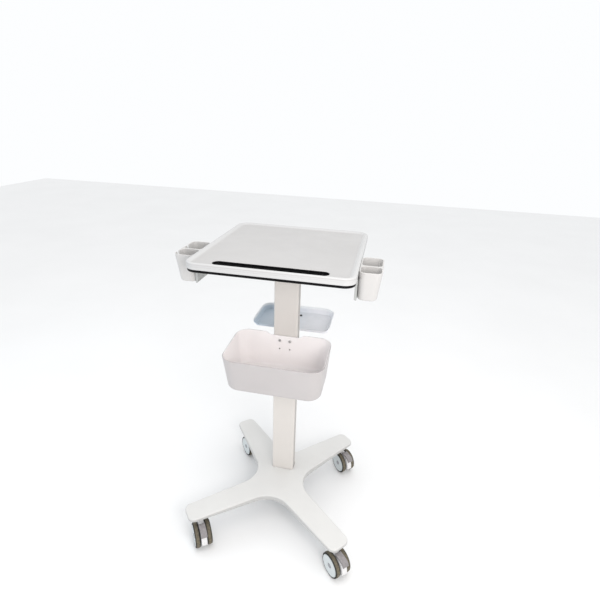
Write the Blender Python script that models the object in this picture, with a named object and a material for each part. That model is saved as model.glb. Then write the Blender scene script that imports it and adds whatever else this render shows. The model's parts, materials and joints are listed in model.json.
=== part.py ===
"""Wheeled trolley for a portable ultrasound scanner.

Metres, +Z up, +X to the operator's right, front towards -Y. The origin is on the floor under the
middle of the trolley. Everything is fixed except the four twin-wheel casters: each swivels about
its stem, its two wheels turn on an axle, and a small pedal tips to brake it.
"""
import math

import bmesh
import bpy
from mathutils import Matrix, Vector

GAP = 0.0003                     # clearance between pieces that touch

# Tray: the work surface that the scanner stands on
TRAY_HALF_WIDTH = 0.215
TRAY_FRONT_Y = -0.189
TRAY_BACK_Y = 0.261
TRAY_FRONT_RADIUS = 0.031
TRAY_BACK_RADIUS = 0.038
TRAY_TOP_Z = 0.940               # crest of the raised rim
DECK_Z = 0.935
DECK_UNDERSIDE_Z = 0.931
TRAY_EDGE_Z = 0.9215             # lower edge of the tray's side wall
TRAY_WALL = 0.0045
BOSS_RADIUS = 0.007

# Black bottom shell that closes the tray from below
SHELL_BOTTOM_Z = 0.914
SHELL_FLOOR_Z = 0.9165
SHELL_INSET = 0.0015

# Slot across the front of the deck, with a black insert
SLOT_HALF_LENGTH = 0.149
SLOT_FRONT_Y = -0.170
SLOT_BACK_Y = -0.139
DIVIDER_DEPTH = 0.0025           # the strip along its middle stops this far below the deck
DIVIDER_HALF_WIDTH = 0.0016
DIVIDER_END_ROOM = 0.004

# Column: a rectangular extrusion with two grooves down each side
COLUMN_HALF_WIDTH = 0.03725
COLUMN_FRONT_Y = 0.031
COLUMN_BACK_Y = 0.072
COLUMN_RADIUS = 0.006
COLUMN_WALL = 0.003
COLUMN_BOTTOM_Z = 0.1071
COLUMN_TOP_Z = 0.9084
GROOVE_CENTERS_Y = (0.041, 0.062)
GROOVE_HALF_WIDTH = 0.0015
GROOVE_DEPTH = 0.0012

# Mounting plate between tray and column, with a socket that goes into the column
PLATE_HALF_WIDTH = 0.100
PLATE_HALF_DEPTH = 0.085
PLATE_THICKNESS = 0.005
SOCKET_LENGTH = 0.040
SOCKET_WALL = 0.0025
TRAY_SCREW_X = 0.085
TRAY_SCREW_Y = 0.070             # from the column's middle
SCREW_RADIUS = 0.0025
SCREW_HOLE_RADIUS = 0.0028

# Column foot: a plate with a plug, bolted to the base frame
FOOT_HALF_WIDTH = 0.058
FOOT_HALF_DEPTH = 0.036
FOOT_BOTTOM_Z = 0.1028
FOOT_TOP_Z = 0.1068
FOOT_PLUG_TOP_Z = 0.150
FOOT_BOLT_X = 0.048
FOOT_BOLT_Y = 0.024              # from the column's middle
BOLT_RADIUS = 0.003
BOLT_HOLE_RADIUS = 0.0033

# Base: a four-armed moulded cover over a four-armed steel plate
FRONT_STEM = (0.2153, -0.2020)   # swivel axis of the front right caster
BACK_STEM = (0.1877, 0.2218)     # swivel axis of the back right caster
FRONT_ARM_ANGLE = -40.0          # degrees from +X
BACK_ARM_ANGLE = 48.0
FRONT_ARM_REACH = 0.040          # from the swivel axis to the arm's end
BACK_ARM_REACH = 0.036
FRONT_TIP_HALF_WIDTH = 0.035
BACK_TIP_HALF_WIDTH = 0.032
TIP_RADIUS = 0.022
FRONT_WEB_Y = -0.076             # where the arms' edges would meet without fillets
BACK_WEB_Y = 0.093
SIDE_WEB = (0.057, -0.011)
FRONT_WEB_RADIUS = 0.085
BACK_WEB_RADIUS = 0.060
SIDE_WEB_RADIUS = 0.080
COVER_HUB_Z = 0.0960             # the cover's lower edge rises from here at the hub
COVER_TIP_Z = 0.1060             # to here at the arms' ends
COVER_RISE = (0.10, 0.32)        # distances from the column between which it rises
COVER_TOP_Z = 0.1155
COVER_EDGE_RADIUS = 0.005
COVER_WALL = 0.003
FRAME_BOTTOM_Z = 0.0975
FRAME_TOP_Z = 0.1025
FRAME_INSET = 0.0100

# Basket on the column's front
BASKET_HALF_WIDTH = 0.1485
BASKET_FRONT_Y = -0.152
BASKET_BACK_Y = COLUMN_FRONT_Y - GAP
BASKET_BOTTOM_HALF_WIDTH = 0.140
BASKET_BOTTOM_FRONT_Y = -0.137
BASKET_BOTTOM_Z = 0.541
BASKET_FRONT_RIM_Z = 0.647       # the rim rises from here to the back wall
BASKET_BACK_RIM_Z = 0.660
BASKET_DIP_Z = 0.651             # and dips in front of the column
BASKET_DIP_HALF_WIDTH = 0.048
BASKET_DIP_SLOPE = 0.010
BASKET_WALL = 0.0035
BASKET_FRONT_RADIUS = 0.040
BASKET_BACK_RADIUS = 0.038
BASKET_SCREW_X = 0.016
BASKET_SCREW_Z = 0.635
BASKET_HOLE_Z = 0.606

# Small tray on the column's back
REAR_HALF_WIDTH = 0.128
REAR_FRONT_Y = 0.092
REAR_BACK_Y = 0.246
REAR_FRONT_RADIUS = 0.022
REAR_BACK_RADIUS = 0.036
REAR_BOTTOM_Z = 0.638
REAR_FLOOR_Z = 0.641
REAR_LIP_Z = 0.649
REAR_SIDE_Z = 0.659
REAR_BACK_Z = 0.661
REAR_WALL = 0.003
REAR_FLARE = 0.0075              # the walls lean outwards by this much
REAR_SCREW_X = 0.014
REAR_SCREW_Y = 0.205
BRACKET_THICKNESS = 0.003
REAR_BRACKET_HALF_WIDTH = 0.022
REAR_BRACKET_DROP = 0.050
REAR_BRACKET_END_Y = 0.215

# Probe holders, one on each side of the tray, each with two cups
HOLDER_INNER_X = 0.2154
HOLDER_OUTER_X = 0.274
HOLDER_FRONT_Y = -0.122
HOLDER_BACK_Y = 0.009
HOLDER_TOP_Z = 0.935
HOLDER_BOTTOM_Z = 0.857
HOLDER_TAPER = 0.008             # the walls lean inwards towards the bottom
HOLDER_RADIUS = 0.018
HOLDER_WALL = 0.0035
HOLDER_FLOOR = 0.004
CUP_DIVIDER_Y = (-0.068, -0.062)
CUP_RADIUS = 0.012
CABLE_SLOT_Y = (-0.095, -0.035)
CABLE_SLOT_HALF_WIDTH = 0.0045
CABLE_SLOT_DEPTH = 0.018
HOLDER_LEG_INNER_X = 0.2088
HOLDER_BRACKET_INNER_X = 0.150
HOLDER_BRACKET_Y = (-0.116, 0.003)

# Casters, laid out along their trail direction
WHEEL_RADIUS = 0.0385
TRAIL = 0.027
WHEEL_INNER = 0.0104             # the wheel's faces, from the caster's middle
WHEEL_OUTER = 0.0266
RIM_RADIUS = 0.0329
AXLE_RADIUS = 0.004
AXLE_HOLE_RADIUS = 0.0043
AXLE_HEAD_RADIUS = 0.0075
BODY_HALF_WIDTH = 0.0085
BODY_FRONT_RADIUS = 0.043        # the body's front curves round the axle
NECK_RADIUS = 0.013
NECK_BOTTOM_Z = 0.0765
NECK_TOP_Z = 0.0880
SPINDLE_RADIUS = 0.005
SPINDLE_BOTTOM_Z = 0.059
COLLAR_RADIUS = 0.016
STUD_RADIUS = 0.006
STUD_TOP_Z = 0.1095
PEDAL_PIVOT = (0.036, 0.079)     # along the trail, and height
PEDAL_HALF_WIDTH = 0.0095
LUG_HALF_WIDTH = 0.003
LUG_RADIUS = 0.0042
PIN_RADIUS = 0.002
CASTERS = {
    # corner: (left or right, stem, trail direction in degrees from +X)
    "front_left": (-1, FRONT_STEM, -55.0),
    "front_right": (1, FRONT_STEM, -47.0),
    "back_left": (-1, BACK_STEM, -47.0),
    "back_right": (1, BACK_STEM, -50.0),
}

ROUND_SEGMENTS = 24              # sides of a wheel
SMALL_SEGMENTS = 12              # sides of a screw or a bolt
COLUMN_MIDDLE_Y = (COLUMN_FRONT_Y + COLUMN_BACK_Y) / 2
SMOOTH_ANGLE = math.radians(35.0)
THROUGH = 0.002                  # how far a cutter runs past the face it opens

# Colour, roughness and metallic value of each sub-part's finish
FINISHES = {
    "tray_top": ((0.86, 0.85, 0.85), 0.38, 0.0),
    "tray_bottom_shell": ((0.010, 0.010, 0.011), 0.45, 0.0),
    "tray_slot_insert": ((0.010, 0.010, 0.011), 0.60, 0.0),
    "tray_mounting_plate": ((0.55, 0.56, 0.57), 0.45, 0.9),
    "steel_screw": ((0.60, 0.60, 0.61), 0.30, 1.0),
    "black_screw": ((0.03, 0.03, 0.032), 0.40, 0.8),
    "column": ((0.80, 0.79, 0.78), 0.40, 0.0),
    "column_foot": ((0.45, 0.46, 0.47), 0.50, 0.9),
    "base_cover": ((0.87, 0.87, 0.87), 0.40, 0.0),
    "base_frame": ((0.40, 0.41, 0.42), 0.50, 0.9),
    "basket": ((0.85, 0.83, 0.83), 0.42, 0.0),
    "rear_tray": ((0.80, 0.83, 0.88), 0.42, 0.0),
    "rear_tray_bracket": ((0.75, 0.75, 0.75), 0.45, 0.0),
    "probe_holder": ((0.88, 0.87, 0.86), 0.40, 0.0),
    "probe_holder_bracket": ((0.45, 0.46, 0.46), 0.45, 0.0),
    "caster_stem": ((0.62, 0.62, 0.63), 0.35, 1.0),
    "caster_body": ((0.84, 0.84, 0.85), 0.42, 0.0),
    "caster_axle": ((0.36, 0.37, 0.39), 0.45, 0.0),
    "brake_pedal": ((0.26, 0.24, 0.25), 0.55, 0.0),
    "tyre": ((0.13, 0.12, 0.10), 0.70, 0.0),
    "wheel_disc": ((0.62, 0.66, 0.68), 0.45, 0.0),
}


# ---- outlines, seen from above -------------------------------------------------------------

def arc(center, radius, start, end, segments):
    """Points on a circle from angle start to angle end, in degrees, both included."""
    angles = [math.radians(start + (end - start) * i / segments) for i in range(segments + 1)]
    return [(center[0] + radius * math.cos(a), center[1] + radius * math.sin(a)) for a in angles]


class Footprint:
    """A rectangle with rounded corners; extra points can be asked for along its back edge."""

    def __init__(self, x_range, y_range, front_radius, back_radius, segments=5, back_points=()):
        self.x_range = x_range
        self.y_range = y_range
        self.front_radius = front_radius
        self.back_radius = back_radius
        self.segments = segments
        self.back_points = back_points

    def outline(self, inset=0.0, front_inset=None):
        """Counter-clockwise points, moved inwards by inset."""
        left = self.x_range[0] + inset
        right = self.x_range[1] - inset
        front = self.y_range[0] + (inset if front_inset is None else front_inset)
        back = self.y_range[1] - inset
        r_front = self.front_radius - inset
        r_back = self.back_radius - inset
        n = self.segments
        points = arc((left + r_front, front + r_front), r_front, 180, 270, n)
        points += arc((right - r_front, front + r_front), r_front, 270, 360, n)
        points += arc((right - r_back, back - r_back), r_back, 0, 90, n)
        points += [(x, back) for x in self.back_points]
        points += arc((left + r_back, back - r_back), r_back, 90, 180, n)
        return points


def rounded_polygon(corners, inset):
    """Outline of a counter-clockwise polygon, moved inwards, with an arc at every corner.

    Each corner is (x, y, radius, segments). A hollow corner's arc grows as the outline moves in.
    """
    points = [Vector(corner[:2]) for corner in corners]
    edges = []
    for start, end in zip(points, points[1:] + points[:1]):
        direction = (end - start).normalized()
        inwards = Vector((-direction.y, direction.x))
        edges.append((start + inwards * inset, direction))
    outline = []
    for i, (_, _, radius, segments) in enumerate(corners):
        start_in, along_in = edges[i - 1]
        start_out, along_out = edges[i]
        cross = along_in.cross(along_out)
        apex = start_in + along_in * ((start_out - start_in).cross(along_out) / cross)
        turn = math.atan2(cross, along_in.dot(along_out))
        bend = 1 if turn > 0 else -1
        r = radius - bend * inset
        first = apex - along_in * (r * math.tan(abs(turn) / 2))
        center = first + Vector((-along_in.y, along_in.x)) * (bend * r)
        for k in range(segments + 1):
            spoke = Matrix.Rotation(turn * k / segments, 2) @ (first - center)
            outline.append(tuple(center + spoke))
    return outline


def arm_tip(side, stem, angle, reach, half_width):
    """The two corners of an arm's end, clockwise edge first, on the given side of the base."""
    along = Vector((math.cos(math.radians(angle)), math.sin(math.radians(angle))))
    across = Vector((-along.y, along.x)) * half_width
    middle = Vector(stem) + along * reach
    corners = [middle - across, middle + across]
    if side < 0:
        corners = [Vector((-c.x, c.y)) for c in reversed(corners)]
    return [(c.x, c.y, TIP_RADIUS, 4) for c in corners]


def base_outline(inset):
    """The four-armed outline of the base."""
    front = (FRONT_STEM, FRONT_ARM_ANGLE, FRONT_ARM_REACH, FRONT_TIP_HALF_WIDTH)
    back = (BACK_STEM, BACK_ARM_ANGLE, BACK_ARM_REACH, BACK_TIP_HALF_WIDTH)
    corners = [(0.0, FRONT_WEB_Y, FRONT_WEB_RADIUS, 6)]
    corners += arm_tip(1, *front)
    corners += [(SIDE_WEB[0], SIDE_WEB[1], SIDE_WEB_RADIUS, 6)]
    corners += arm_tip(1, *back)
    corners += [(0.0, BACK_WEB_Y, BACK_WEB_RADIUS, 6)]
    corners += arm_tip(-1, *back)
    corners += [(-SIDE_WEB[0], SIDE_WEB[1], SIDE_WEB_RADIUS, 6)]
    corners += arm_tip(-1, *front)
    return rounded_polygon(corners, inset)


def column_outline(wall):
    """The column's section; the grooves only show on its outside, where wall is 0."""
    x = COLUMN_HALF_WIDTH - wall
    front = COLUMN_FRONT_Y + wall
    back = COLUMN_BACK_Y - wall
    radius = COLUMN_RADIUS - wall
    depth = GROOVE_DEPTH if wall == 0.0 else 0.0
    side = []
    for y in GROOVE_CENTERS_Y:
        side += [(x, y - GROOVE_HALF_WIDTH), (x - depth, y - GROOVE_HALF_WIDTH / 2)]
        side += [(x - depth, y + GROOVE_HALF_WIDTH / 2), (x, y + GROOVE_HALF_WIDTH)]
    points = arc((-x + radius, front + radius), radius, 180, 270, 3)
    points += arc((x - radius, front + radius), radius, 270, 360, 3)
    points += side
    points += arc((x - radius, back - radius), radius, 0, 90, 3)
    points += arc((-x + radius, back - radius), radius, 90, 180, 3)
    points += [(-u, v) for u, v in reversed(side)]
    return points


def column_opening(clearance, segments=3):
    """Footprint of something that surrounds the column or, with a negative clearance, fills it."""
    radius = COLUMN_RADIUS + clearance
    x_range = (-COLUMN_HALF_WIDTH - clearance, COLUMN_HALF_WIDTH + clearance)
    y_range = (COLUMN_FRONT_Y - clearance, COLUMN_BACK_Y + clearance)
    return Footprint(x_range, y_range, radius, radius, segments)


# ---- solids ------------------------------------------------------------------------------------

def ring(outline, z):
    """An outline lifted to height z, which may be a rule that gives a height for x and y."""
    if callable(z):
        return [(x, y, z(x, y)) for x, y in outline]
    return [(x, y, z) for x, y in outline]


def loft(rings, closed_loop=False):
    """A closed skin through rings of equal length, capped at both ends unless it is a loop."""
    bm = bmesh.new()
    rows = [[bm.verts.new(point) for point in one_ring] for one_ring in rings]
    pairs = list(zip(rows, rows[1:]))
    if closed_loop:
        pairs.append((rows[-1], rows[0]))
    else:
        bm.faces.new(list(reversed(rows[0])))
        bm.faces.new(rows[-1])
    count = len(rows[0])
    for lower, upper in pairs:
        for i in range(count):
            j = (i + 1) % count
            bm.faces.new((lower[i], lower[j], upper[j], upper[i]))
    bmesh.ops.recalc_face_normals(bm, faces=bm.faces[:])
    return bm


def turned(profile, segments=SMALL_SEGMENTS, closed_loop=False, half_step=False):
    """A body of revolution about Z through (radius, height) points.

    With half_step a flat side, and not an edge, faces down once the body lies on its side.
    """
    phase = 180.0 / segments if half_step else 0.0
    rings = []
    for radius, z in profile:
        circle = arc((0.0, 0.0), radius, phase, phase + 360.0, segments)[:-1]
        rings.append(ring(circle, z))
    return loft(rings, closed_loop)


def prism(outline, low, high, axis):
    """An outline pushed along X (outline in y, z) or along Y (outline in x, z)."""
    def lift(point, w):
        if axis == "X":
            return (w, point[0], point[1])
        return (point[0], w, point[1])
    return loft([[lift(p, low) for p in outline], [lift(p, high) for p in outline]])


def transformed(bm, matrix):
    """Turns or moves a body before it becomes an object."""
    bmesh.ops.transform(bm, matrix=matrix, verts=bm.verts[:])
    bmesh.ops.recalc_face_normals(bm, faces=bm.faces[:])
    return bm


def finish(name):
    """The Principled material of a sub-part."""
    existing = bpy.data.materials.get(name)
    if existing:
        return existing
    color, roughness, metallic = FINISHES[name]
    material = bpy.data.materials.new(name)
    material.use_nodes = True
    shader = material.node_tree.nodes["Principled BSDF"]
    shader.inputs["Base Color"].default_value = (*color, 1.0)
    shader.inputs["Roughness"].default_value = roughness
    shader.inputs["Metallic"].default_value = metallic
    material.diffuse_color = (*color, 1.0)
    return material


def add_object(name, bm, finish_name, smooth=False):
    """Puts a body into the scene as a named object."""
    mesh = bpy.data.meshes.new(name)
    bm.to_mesh(mesh)
    bm.free()
    if finish_name:
        mesh.materials.append(finish(finish_name))
    if smooth:
        mesh.shade_smooth()
        mesh.set_sharp_from_angle(angle=SMOOTH_ANGLE)
    obj = bpy.data.objects.new(name, mesh)
    bpy.context.collection.objects.link(obj)
    return obj


def combine(target, bm, operation):
    """Adds a body to an object, or cuts it away, with an exact Boolean."""
    tool = add_object("tool", bm, None)
    modifier = target.modifiers.new("shape", "BOOLEAN")
    modifier.operation = operation
    modifier.solver = "EXACT"
    modifier.object = tool
    graph = bpy.context.evaluated_depsgraph_get()
    result = bpy.data.meshes.new_from_object(target.evaluated_get(graph))
    target.modifiers.clear()
    before = target.data
    target.data = result
    tool_mesh = tool.data
    bpy.data.objects.remove(tool)
    bpy.data.meshes.remove(tool_mesh)
    bpy.data.meshes.remove(before)
    result.name = target.name


def cut(target, bm):
    combine(target, bm, "DIFFERENCE")


def join(target, bm):
    combine(target, bm, "UNION")


def upright_cylinder(x, y, radius, low, high, segments=SMALL_SEGMENTS):
    bm = turned([(radius, low), (radius, high)], segments)
    return transformed(bm, Matrix.Translation((x, y, 0.0)))


def lying_cylinder(x, z, radius, low, high, segments=SMALL_SEGMENTS):
    """A cylinder along Y."""
    circle = arc((x, z), radius, 0.0, 360.0, segments)[:-1]
    return prism(circle, low, high, "Y")


def smoothstep(value):
    t = min(1.0, max(0.0, value))
    return t * t * (3.0 - 2.0 * t)


# ---- tray --------------------------------------------------------------------------------------

TRAY_PLAN = Footprint((-TRAY_HALF_WIDTH, TRAY_HALF_WIDTH), (TRAY_FRONT_Y, TRAY_BACK_Y),
                      TRAY_FRONT_RADIUS, TRAY_BACK_RADIUS)
TRAY_SCREWS = [(sx * TRAY_SCREW_X, COLUMN_MIDDLE_Y + sy * TRAY_SCREW_Y)
               for sx in (-1, 1) for sy in (-1, 1)]
FOOT_BOLTS = [(sx * FOOT_BOLT_X, COLUMN_MIDDLE_Y + sy * FOOT_BOLT_Y)
              for sx in (-1, 1) for sy in (-1, 1)]


def slot_plan(clearance):
    """Footprint of the slot, grown or shrunk by the clearance."""
    radius = (SLOT_BACK_Y - SLOT_FRONT_Y) / 2 + clearance - GAP / 2
    return Footprint((-SLOT_HALF_LENGTH - clearance, SLOT_HALF_LENGTH + clearance),
                     (SLOT_FRONT_Y - clearance, SLOT_BACK_Y + clearance), radius, radius)


def make_tray_top():
    """The white moulding: a deck with a raised rim, open below, with four screw bosses."""
    section = [
        # inset at the sides and back, inset at the front, height
        (TRAY_WALL + 0.0005, TRAY_WALL + 0.0005, DECK_UNDERSIDE_Z),
        (TRAY_WALL, TRAY_WALL, TRAY_EDGE_Z),
        (0.0005, 0.0005, TRAY_EDGE_Z),
        (0.0, 0.0, TRAY_EDGE_Z + 0.001),
        (0.0, 0.0, TRAY_TOP_Z - 0.0025),
        (0.0020, 0.0015, TRAY_TOP_Z - 0.0007),
        (0.0070, 0.0045, TRAY_TOP_Z),
        (0.0120, 0.0075, TRAY_TOP_Z - 0.0010),
        (0.0160, 0.0095, TRAY_TOP_Z - 0.0035),
        (0.0190, 0.0110, DECK_Z),
    ]
    rings = [ring(TRAY_PLAN.outline(inset, front), z) for inset, front, z in section]
    tray = add_object("tray_top", loft(rings), "tray_top")
    boss_bottom = SHELL_FLOOR_Z + GAP
    for x, y in TRAY_SCREWS:
        join(tray, upright_cylinder(x, y, BOSS_RADIUS, boss_bottom, DECK_UNDERSIDE_Z + 0.0015))
        cut(tray, upright_cylinder(x, y, SCREW_HOLE_RADIUS, boss_bottom - THROUGH, 0.928))
    slot = slot_plan(0.0).outline()
    cut(tray, loft([ring(slot, DECK_UNDERSIDE_Z - THROUGH), ring(slot, DECK_Z + THROUGH)]))


def make_slot_insert():
    """A black trough held under the deck by its flange, and the strip that divides it."""
    plan = slot_plan(-GAP)
    bottom = SHELL_FLOOR_Z + GAP
    flange_top = DECK_UNDERSIDE_Z - GAP
    flange_bottom = flange_top - 0.0037
    rim = DECK_Z - 0.0007
    floor = bottom + 0.0037
    section = [(0.0, bottom), (0.0, flange_bottom), (-0.003, flange_bottom), (-0.003, flange_top),
               (0.0, flange_top), (0.0, rim), (0.0018, rim), (0.0022, floor)]
    rings = [ring(plan.outline(inset), z) for inset, z in section]
    add_object("tray_slot_insert", loft(rings), "tray_slot_insert")
    middle = (SLOT_FRONT_Y + SLOT_BACK_Y) / 2
    half_length = SLOT_HALF_LENGTH - DIVIDER_END_ROOM
    low = floor + GAP
    high = DECK_Z - DIVIDER_DEPTH
    strip = [(middle - DIVIDER_HALF_WIDTH, low), (middle + DIVIDER_HALF_WIDTH, low),
             (middle + DIVIDER_HALF_WIDTH * 0.75, high), (middle - DIVIDER_HALF_WIDTH * 0.75, high)]
    add_object("tray_slot_divider", prism(strip, -half_length, half_length, "X"), "tray_slot_insert")


def make_bottom_shell():
    """The black pan under the tray; its edge shows as a band below the white one."""
    section = [(SHELL_INSET + 0.001, SHELL_BOTTOM_Z), (SHELL_INSET, SHELL_BOTTOM_Z + 0.001),
               (SHELL_INSET, TRAY_EDGE_Z - GAP), (TRAY_WALL, TRAY_EDGE_Z - GAP),
               (TRAY_WALL, SHELL_FLOOR_Z)]
    rings = [ring(TRAY_PLAN.outline(inset), z) for inset, z in section]
    shell = add_object("tray_bottom_shell", loft(rings), "tray_bottom_shell")
    for x, y in TRAY_SCREWS:
        cut(shell, upright_cylinder(x, y, SCREW_HOLE_RADIUS, SHELL_BOTTOM_Z - THROUGH,
                                    SHELL_FLOOR_Z + THROUGH))


def make_mounting_plate():
    """A steel plate under the tray whose socket plugs into the top of the column."""
    middle = COLUMN_MIDDLE_Y
    plate = Footprint((-PLATE_HALF_WIDTH, PLATE_HALF_WIDTH),
                      (middle - PLATE_HALF_DEPTH, middle + PLATE_HALF_DEPTH), 0.010, 0.010, 3)
    socket = column_opening(-COLUMN_WALL - GAP)
    top = SHELL_BOTTOM_Z - GAP
    bottom = top - PLATE_THICKNESS
    rings = [ring(plate.outline(), top), ring(plate.outline(), bottom),
             ring(socket.outline(), bottom), ring(socket.outline(), bottom - SOCKET_LENGTH),
             ring(socket.outline(SOCKET_WALL), bottom - SOCKET_LENGTH),
             ring(socket.outline(SOCKET_WALL), bottom)]
    plate_object = add_object("tray_mounting_plate", loft(rings), "tray_mounting_plate")
    for x, y in TRAY_SCREWS:
        cut(plate_object, upright_cylinder(x, y, SCREW_HOLE_RADIUS, bottom - THROUGH, top + THROUGH))


def screw_body(head_radius, head_height, shank_radius, length):
    """A socket-head screw standing on its head's underside, with its shank going up."""
    socket_radius = head_radius * 0.45
    socket_depth = head_height * 0.6
    profile = [(socket_radius, socket_depth - head_height), (socket_radius, -head_height),
               (head_radius * 0.8, -head_height), (head_radius, -head_height * 0.75),
               (head_radius, 0.0), (shank_radius, 0.0), (shank_radius, length)]
    return turned(profile)


def make_tray_screws():
    """Screws from below through plate and bottom shell into the tray's bosses."""
    head_seat = SHELL_BOTTOM_Z - GAP - PLATE_THICKNESS - GAP
    for number, (x, y) in enumerate(TRAY_SCREWS, start=1):
        body = screw_body(0.0045, 0.003, SCREW_RADIUS, 0.927 - head_seat)
        screw = add_object(f"tray_screw_{number}", body, "steel_screw", smooth=True)
        screw.location = (x, y, head_seat)


# ---- column and base -----------------------------------------------------------------------------

def make_column():
    outside = column_outline(0.0)
    inside = column_outline(COLUMN_WALL)
    rings = [ring(outside, COLUMN_BOTTOM_Z), ring(outside, COLUMN_TOP_Z),
             ring(inside, COLUMN_TOP_Z), ring(inside, COLUMN_BOTTOM_Z)]
    column = add_object("column", loft(rings, closed_loop=True), "column")
    for side in (-1, 1):
        cut(column, lying_cylinder(side * BASKET_SCREW_X, BASKET_SCREW_Z, SCREW_HOLE_RADIUS,
                                   COLUMN_FRONT_Y - THROUGH, COLUMN_FRONT_Y + COLUMN_WALL + THROUGH))


def make_column_foot():
    """A plate on the base frame with a hollow plug that centres the column."""
    middle = COLUMN_MIDDLE_Y
    plate = Footprint((-FOOT_HALF_WIDTH, FOOT_HALF_WIDTH),
                      (middle - FOOT_HALF_DEPTH, middle + FOOT_HALF_DEPTH), 0.006, 0.006, 3)
    plug = column_opening(-COLUMN_WALL - GAP)
    rings = [ring(plate.outline(), FOOT_BOTTOM_Z), ring(plate.outline(), FOOT_TOP_Z),
             ring(plug.outline(), FOOT_TOP_Z), ring(plug.outline(), FOOT_PLUG_TOP_Z),
             ring(plug.outline(SOCKET_WALL), FOOT_PLUG_TOP_Z),
             ring(plug.outline(SOCKET_WALL), FOOT_TOP_Z)]
    foot = add_object("column_foot", loft(rings), "column_foot")
    for x, y in FOOT_BOLTS:
        cut(foot, upright_cylinder(x, y, BOLT_HOLE_RADIUS, FOOT_BOTTOM_Z - THROUGH,
                                   FOOT_TOP_Z + THROUGH))


def make_foot_bolts():
    """Bolts from above through the column foot into the base frame."""
    head_seat = FOOT_TOP_Z + GAP
    for number, (x, y) in enumerate(FOOT_BOLTS, start=1):
        body = screw_body(0.0052, 0.0045, BOLT_RADIUS, head_seat - FRAME_BOTTOM_Z - GAP)
        transformed(body, Matrix.Rotation(math.pi, 4, "X"))
        bolt = add_object(f"foot_bolt_{number}", body, "steel_screw", smooth=True)
        bolt.location = (x, y, head_seat)


def cover_edge(x, y):
    """Height of the cover's lower edge: deepest round the hub, shallow at the arms' ends."""
    start, end = COVER_RISE
    rise = smoothstep((math.hypot(x, y - COLUMN_MIDDLE_Y) - start) / (end - start))
    return COVER_HUB_Z + (COVER_TIP_Z - COVER_HUB_Z) * rise


def make_base_cover():
    """The white four-armed moulding, open below, with an opening that the column passes."""
    top = COVER_TOP_Z
    radius = COVER_EDGE_RADIUS
    inner_top = top - COVER_WALL
    section = [(COVER_WALL + 0.004, inner_top), (COVER_WALL + 0.001, inner_top - 0.001),
               (COVER_WALL, inner_top - 0.004), (COVER_WALL, cover_edge), (0.0, cover_edge),
               (0.0, top - radius), (radius * 0.3, top - radius * 0.3), (radius, top)]
    rings = [ring(base_outline(inset), z) for inset, z in section]
    cover = add_object("base_cover", loft(rings), "base_cover", smooth=True)
    opening = column_opening(2 * GAP).outline()
    cut(cover, loft([ring(opening, COVER_TOP_Z - 0.006), ring(opening, COVER_TOP_Z + THROUGH)]))


def make_base_frame():
    """The steel plate inside the base that carries the column and the caster stems."""
    outline = base_outline(FRAME_INSET)
    frame = add_object("base_frame", loft([ring(outline, FRAME_BOTTOM_Z), ring(outline, FRAME_TOP_Z)]),
                       "base_frame")
    low = FRAME_BOTTOM_Z - THROUGH
    high = FRAME_TOP_Z + THROUGH
    for x, y in FOOT_BOLTS:
        cut(frame, upright_cylinder(x, y, BOLT_HOLE_RADIUS, low, high))
    for side, stem, _ in CASTERS.values():
        cut(frame, upright_cylinder(side * stem[0], stem[1], STUD_RADIUS + GAP, low, high))


# ---- basket, rear tray, probe holders --------------------------------------------------------------

def basket_rim(x, y):
    """Height of the basket's rim: it rises to the back wall and dips in front of the column."""
    rise = (y - BASKET_FRONT_Y) / (BASKET_BACK_Y - BASKET_FRONT_Y)
    if y > COLUMN_FRONT_Y - BASKET_BACK_RADIUS and abs(x) <= BASKET_DIP_HALF_WIDTH + GAP:
        return BASKET_DIP_Z
    return BASKET_FRONT_RIM_Z + (BASKET_BACK_RIM_Z - BASKET_FRONT_RIM_Z) * rise


def make_basket():
    """An open bin with rounded corners and leaning walls, screwed to the column's front."""
    dip = BASKET_DIP_HALF_WIDTH
    slope_end = dip + BASKET_DIP_SLOPE
    back_points = (slope_end, dip, -dip, -slope_end)
    rim = Footprint((-BASKET_HALF_WIDTH, BASKET_HALF_WIDTH), (BASKET_FRONT_Y, BASKET_BACK_Y),
                    BASKET_FRONT_RADIUS, BASKET_BACK_RADIUS, 6, back_points)
    bottom = Footprint((-BASKET_BOTTOM_HALF_WIDTH, BASKET_BOTTOM_HALF_WIDTH),
                       (BASKET_BOTTOM_FRONT_Y, BASKET_BACK_Y),
                       BASKET_FRONT_RADIUS, BASKET_BACK_RADIUS, 6, back_points)
    low = BASKET_BOTTOM_Z
    wall = BASKET_WALL
    rings = [
        ring(bottom.outline(0.007), low),
        ring(bottom.outline(0.002), low + 0.002),
        ring(bottom.outline(), low + 0.007),
        ring(rim.outline(), basket_rim),
        ring(rim.outline(wall), basket_rim),
        ring(bottom.outline(wall), low + 0.010),
        ring(bottom.outline(wall + 0.002), low + wall + 0.002),
        ring(bottom.outline(wall + 0.007), low + wall),
    ]
    basket = add_object("basket", loft(rings), "basket", smooth=True)
    for side in (-1, 1):
        for z in (BASKET_SCREW_Z, BASKET_HOLE_Z):
            cut(basket, lying_cylinder(side * BASKET_SCREW_X, z, SCREW_HOLE_RADIUS,
                                       BASKET_BACK_Y - wall - THROUGH, BASKET_BACK_Y + THROUGH))
    head_seat = BASKET_BACK_Y - wall - GAP
    for side, label in ((-1, "left"), (1, "right")):
        body = screw_body(0.0045, 0.003, SCREW_RADIUS, 0.018)
        transformed(body, Matrix.Rotation(-math.pi / 2, 4, "X"))
        screw = add_object(f"basket_screw_{label}", body, "steel_screw", smooth=True)
        screw.location = (side * BASKET_SCREW_X, head_seat, BASKET_SCREW_Z)


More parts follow.
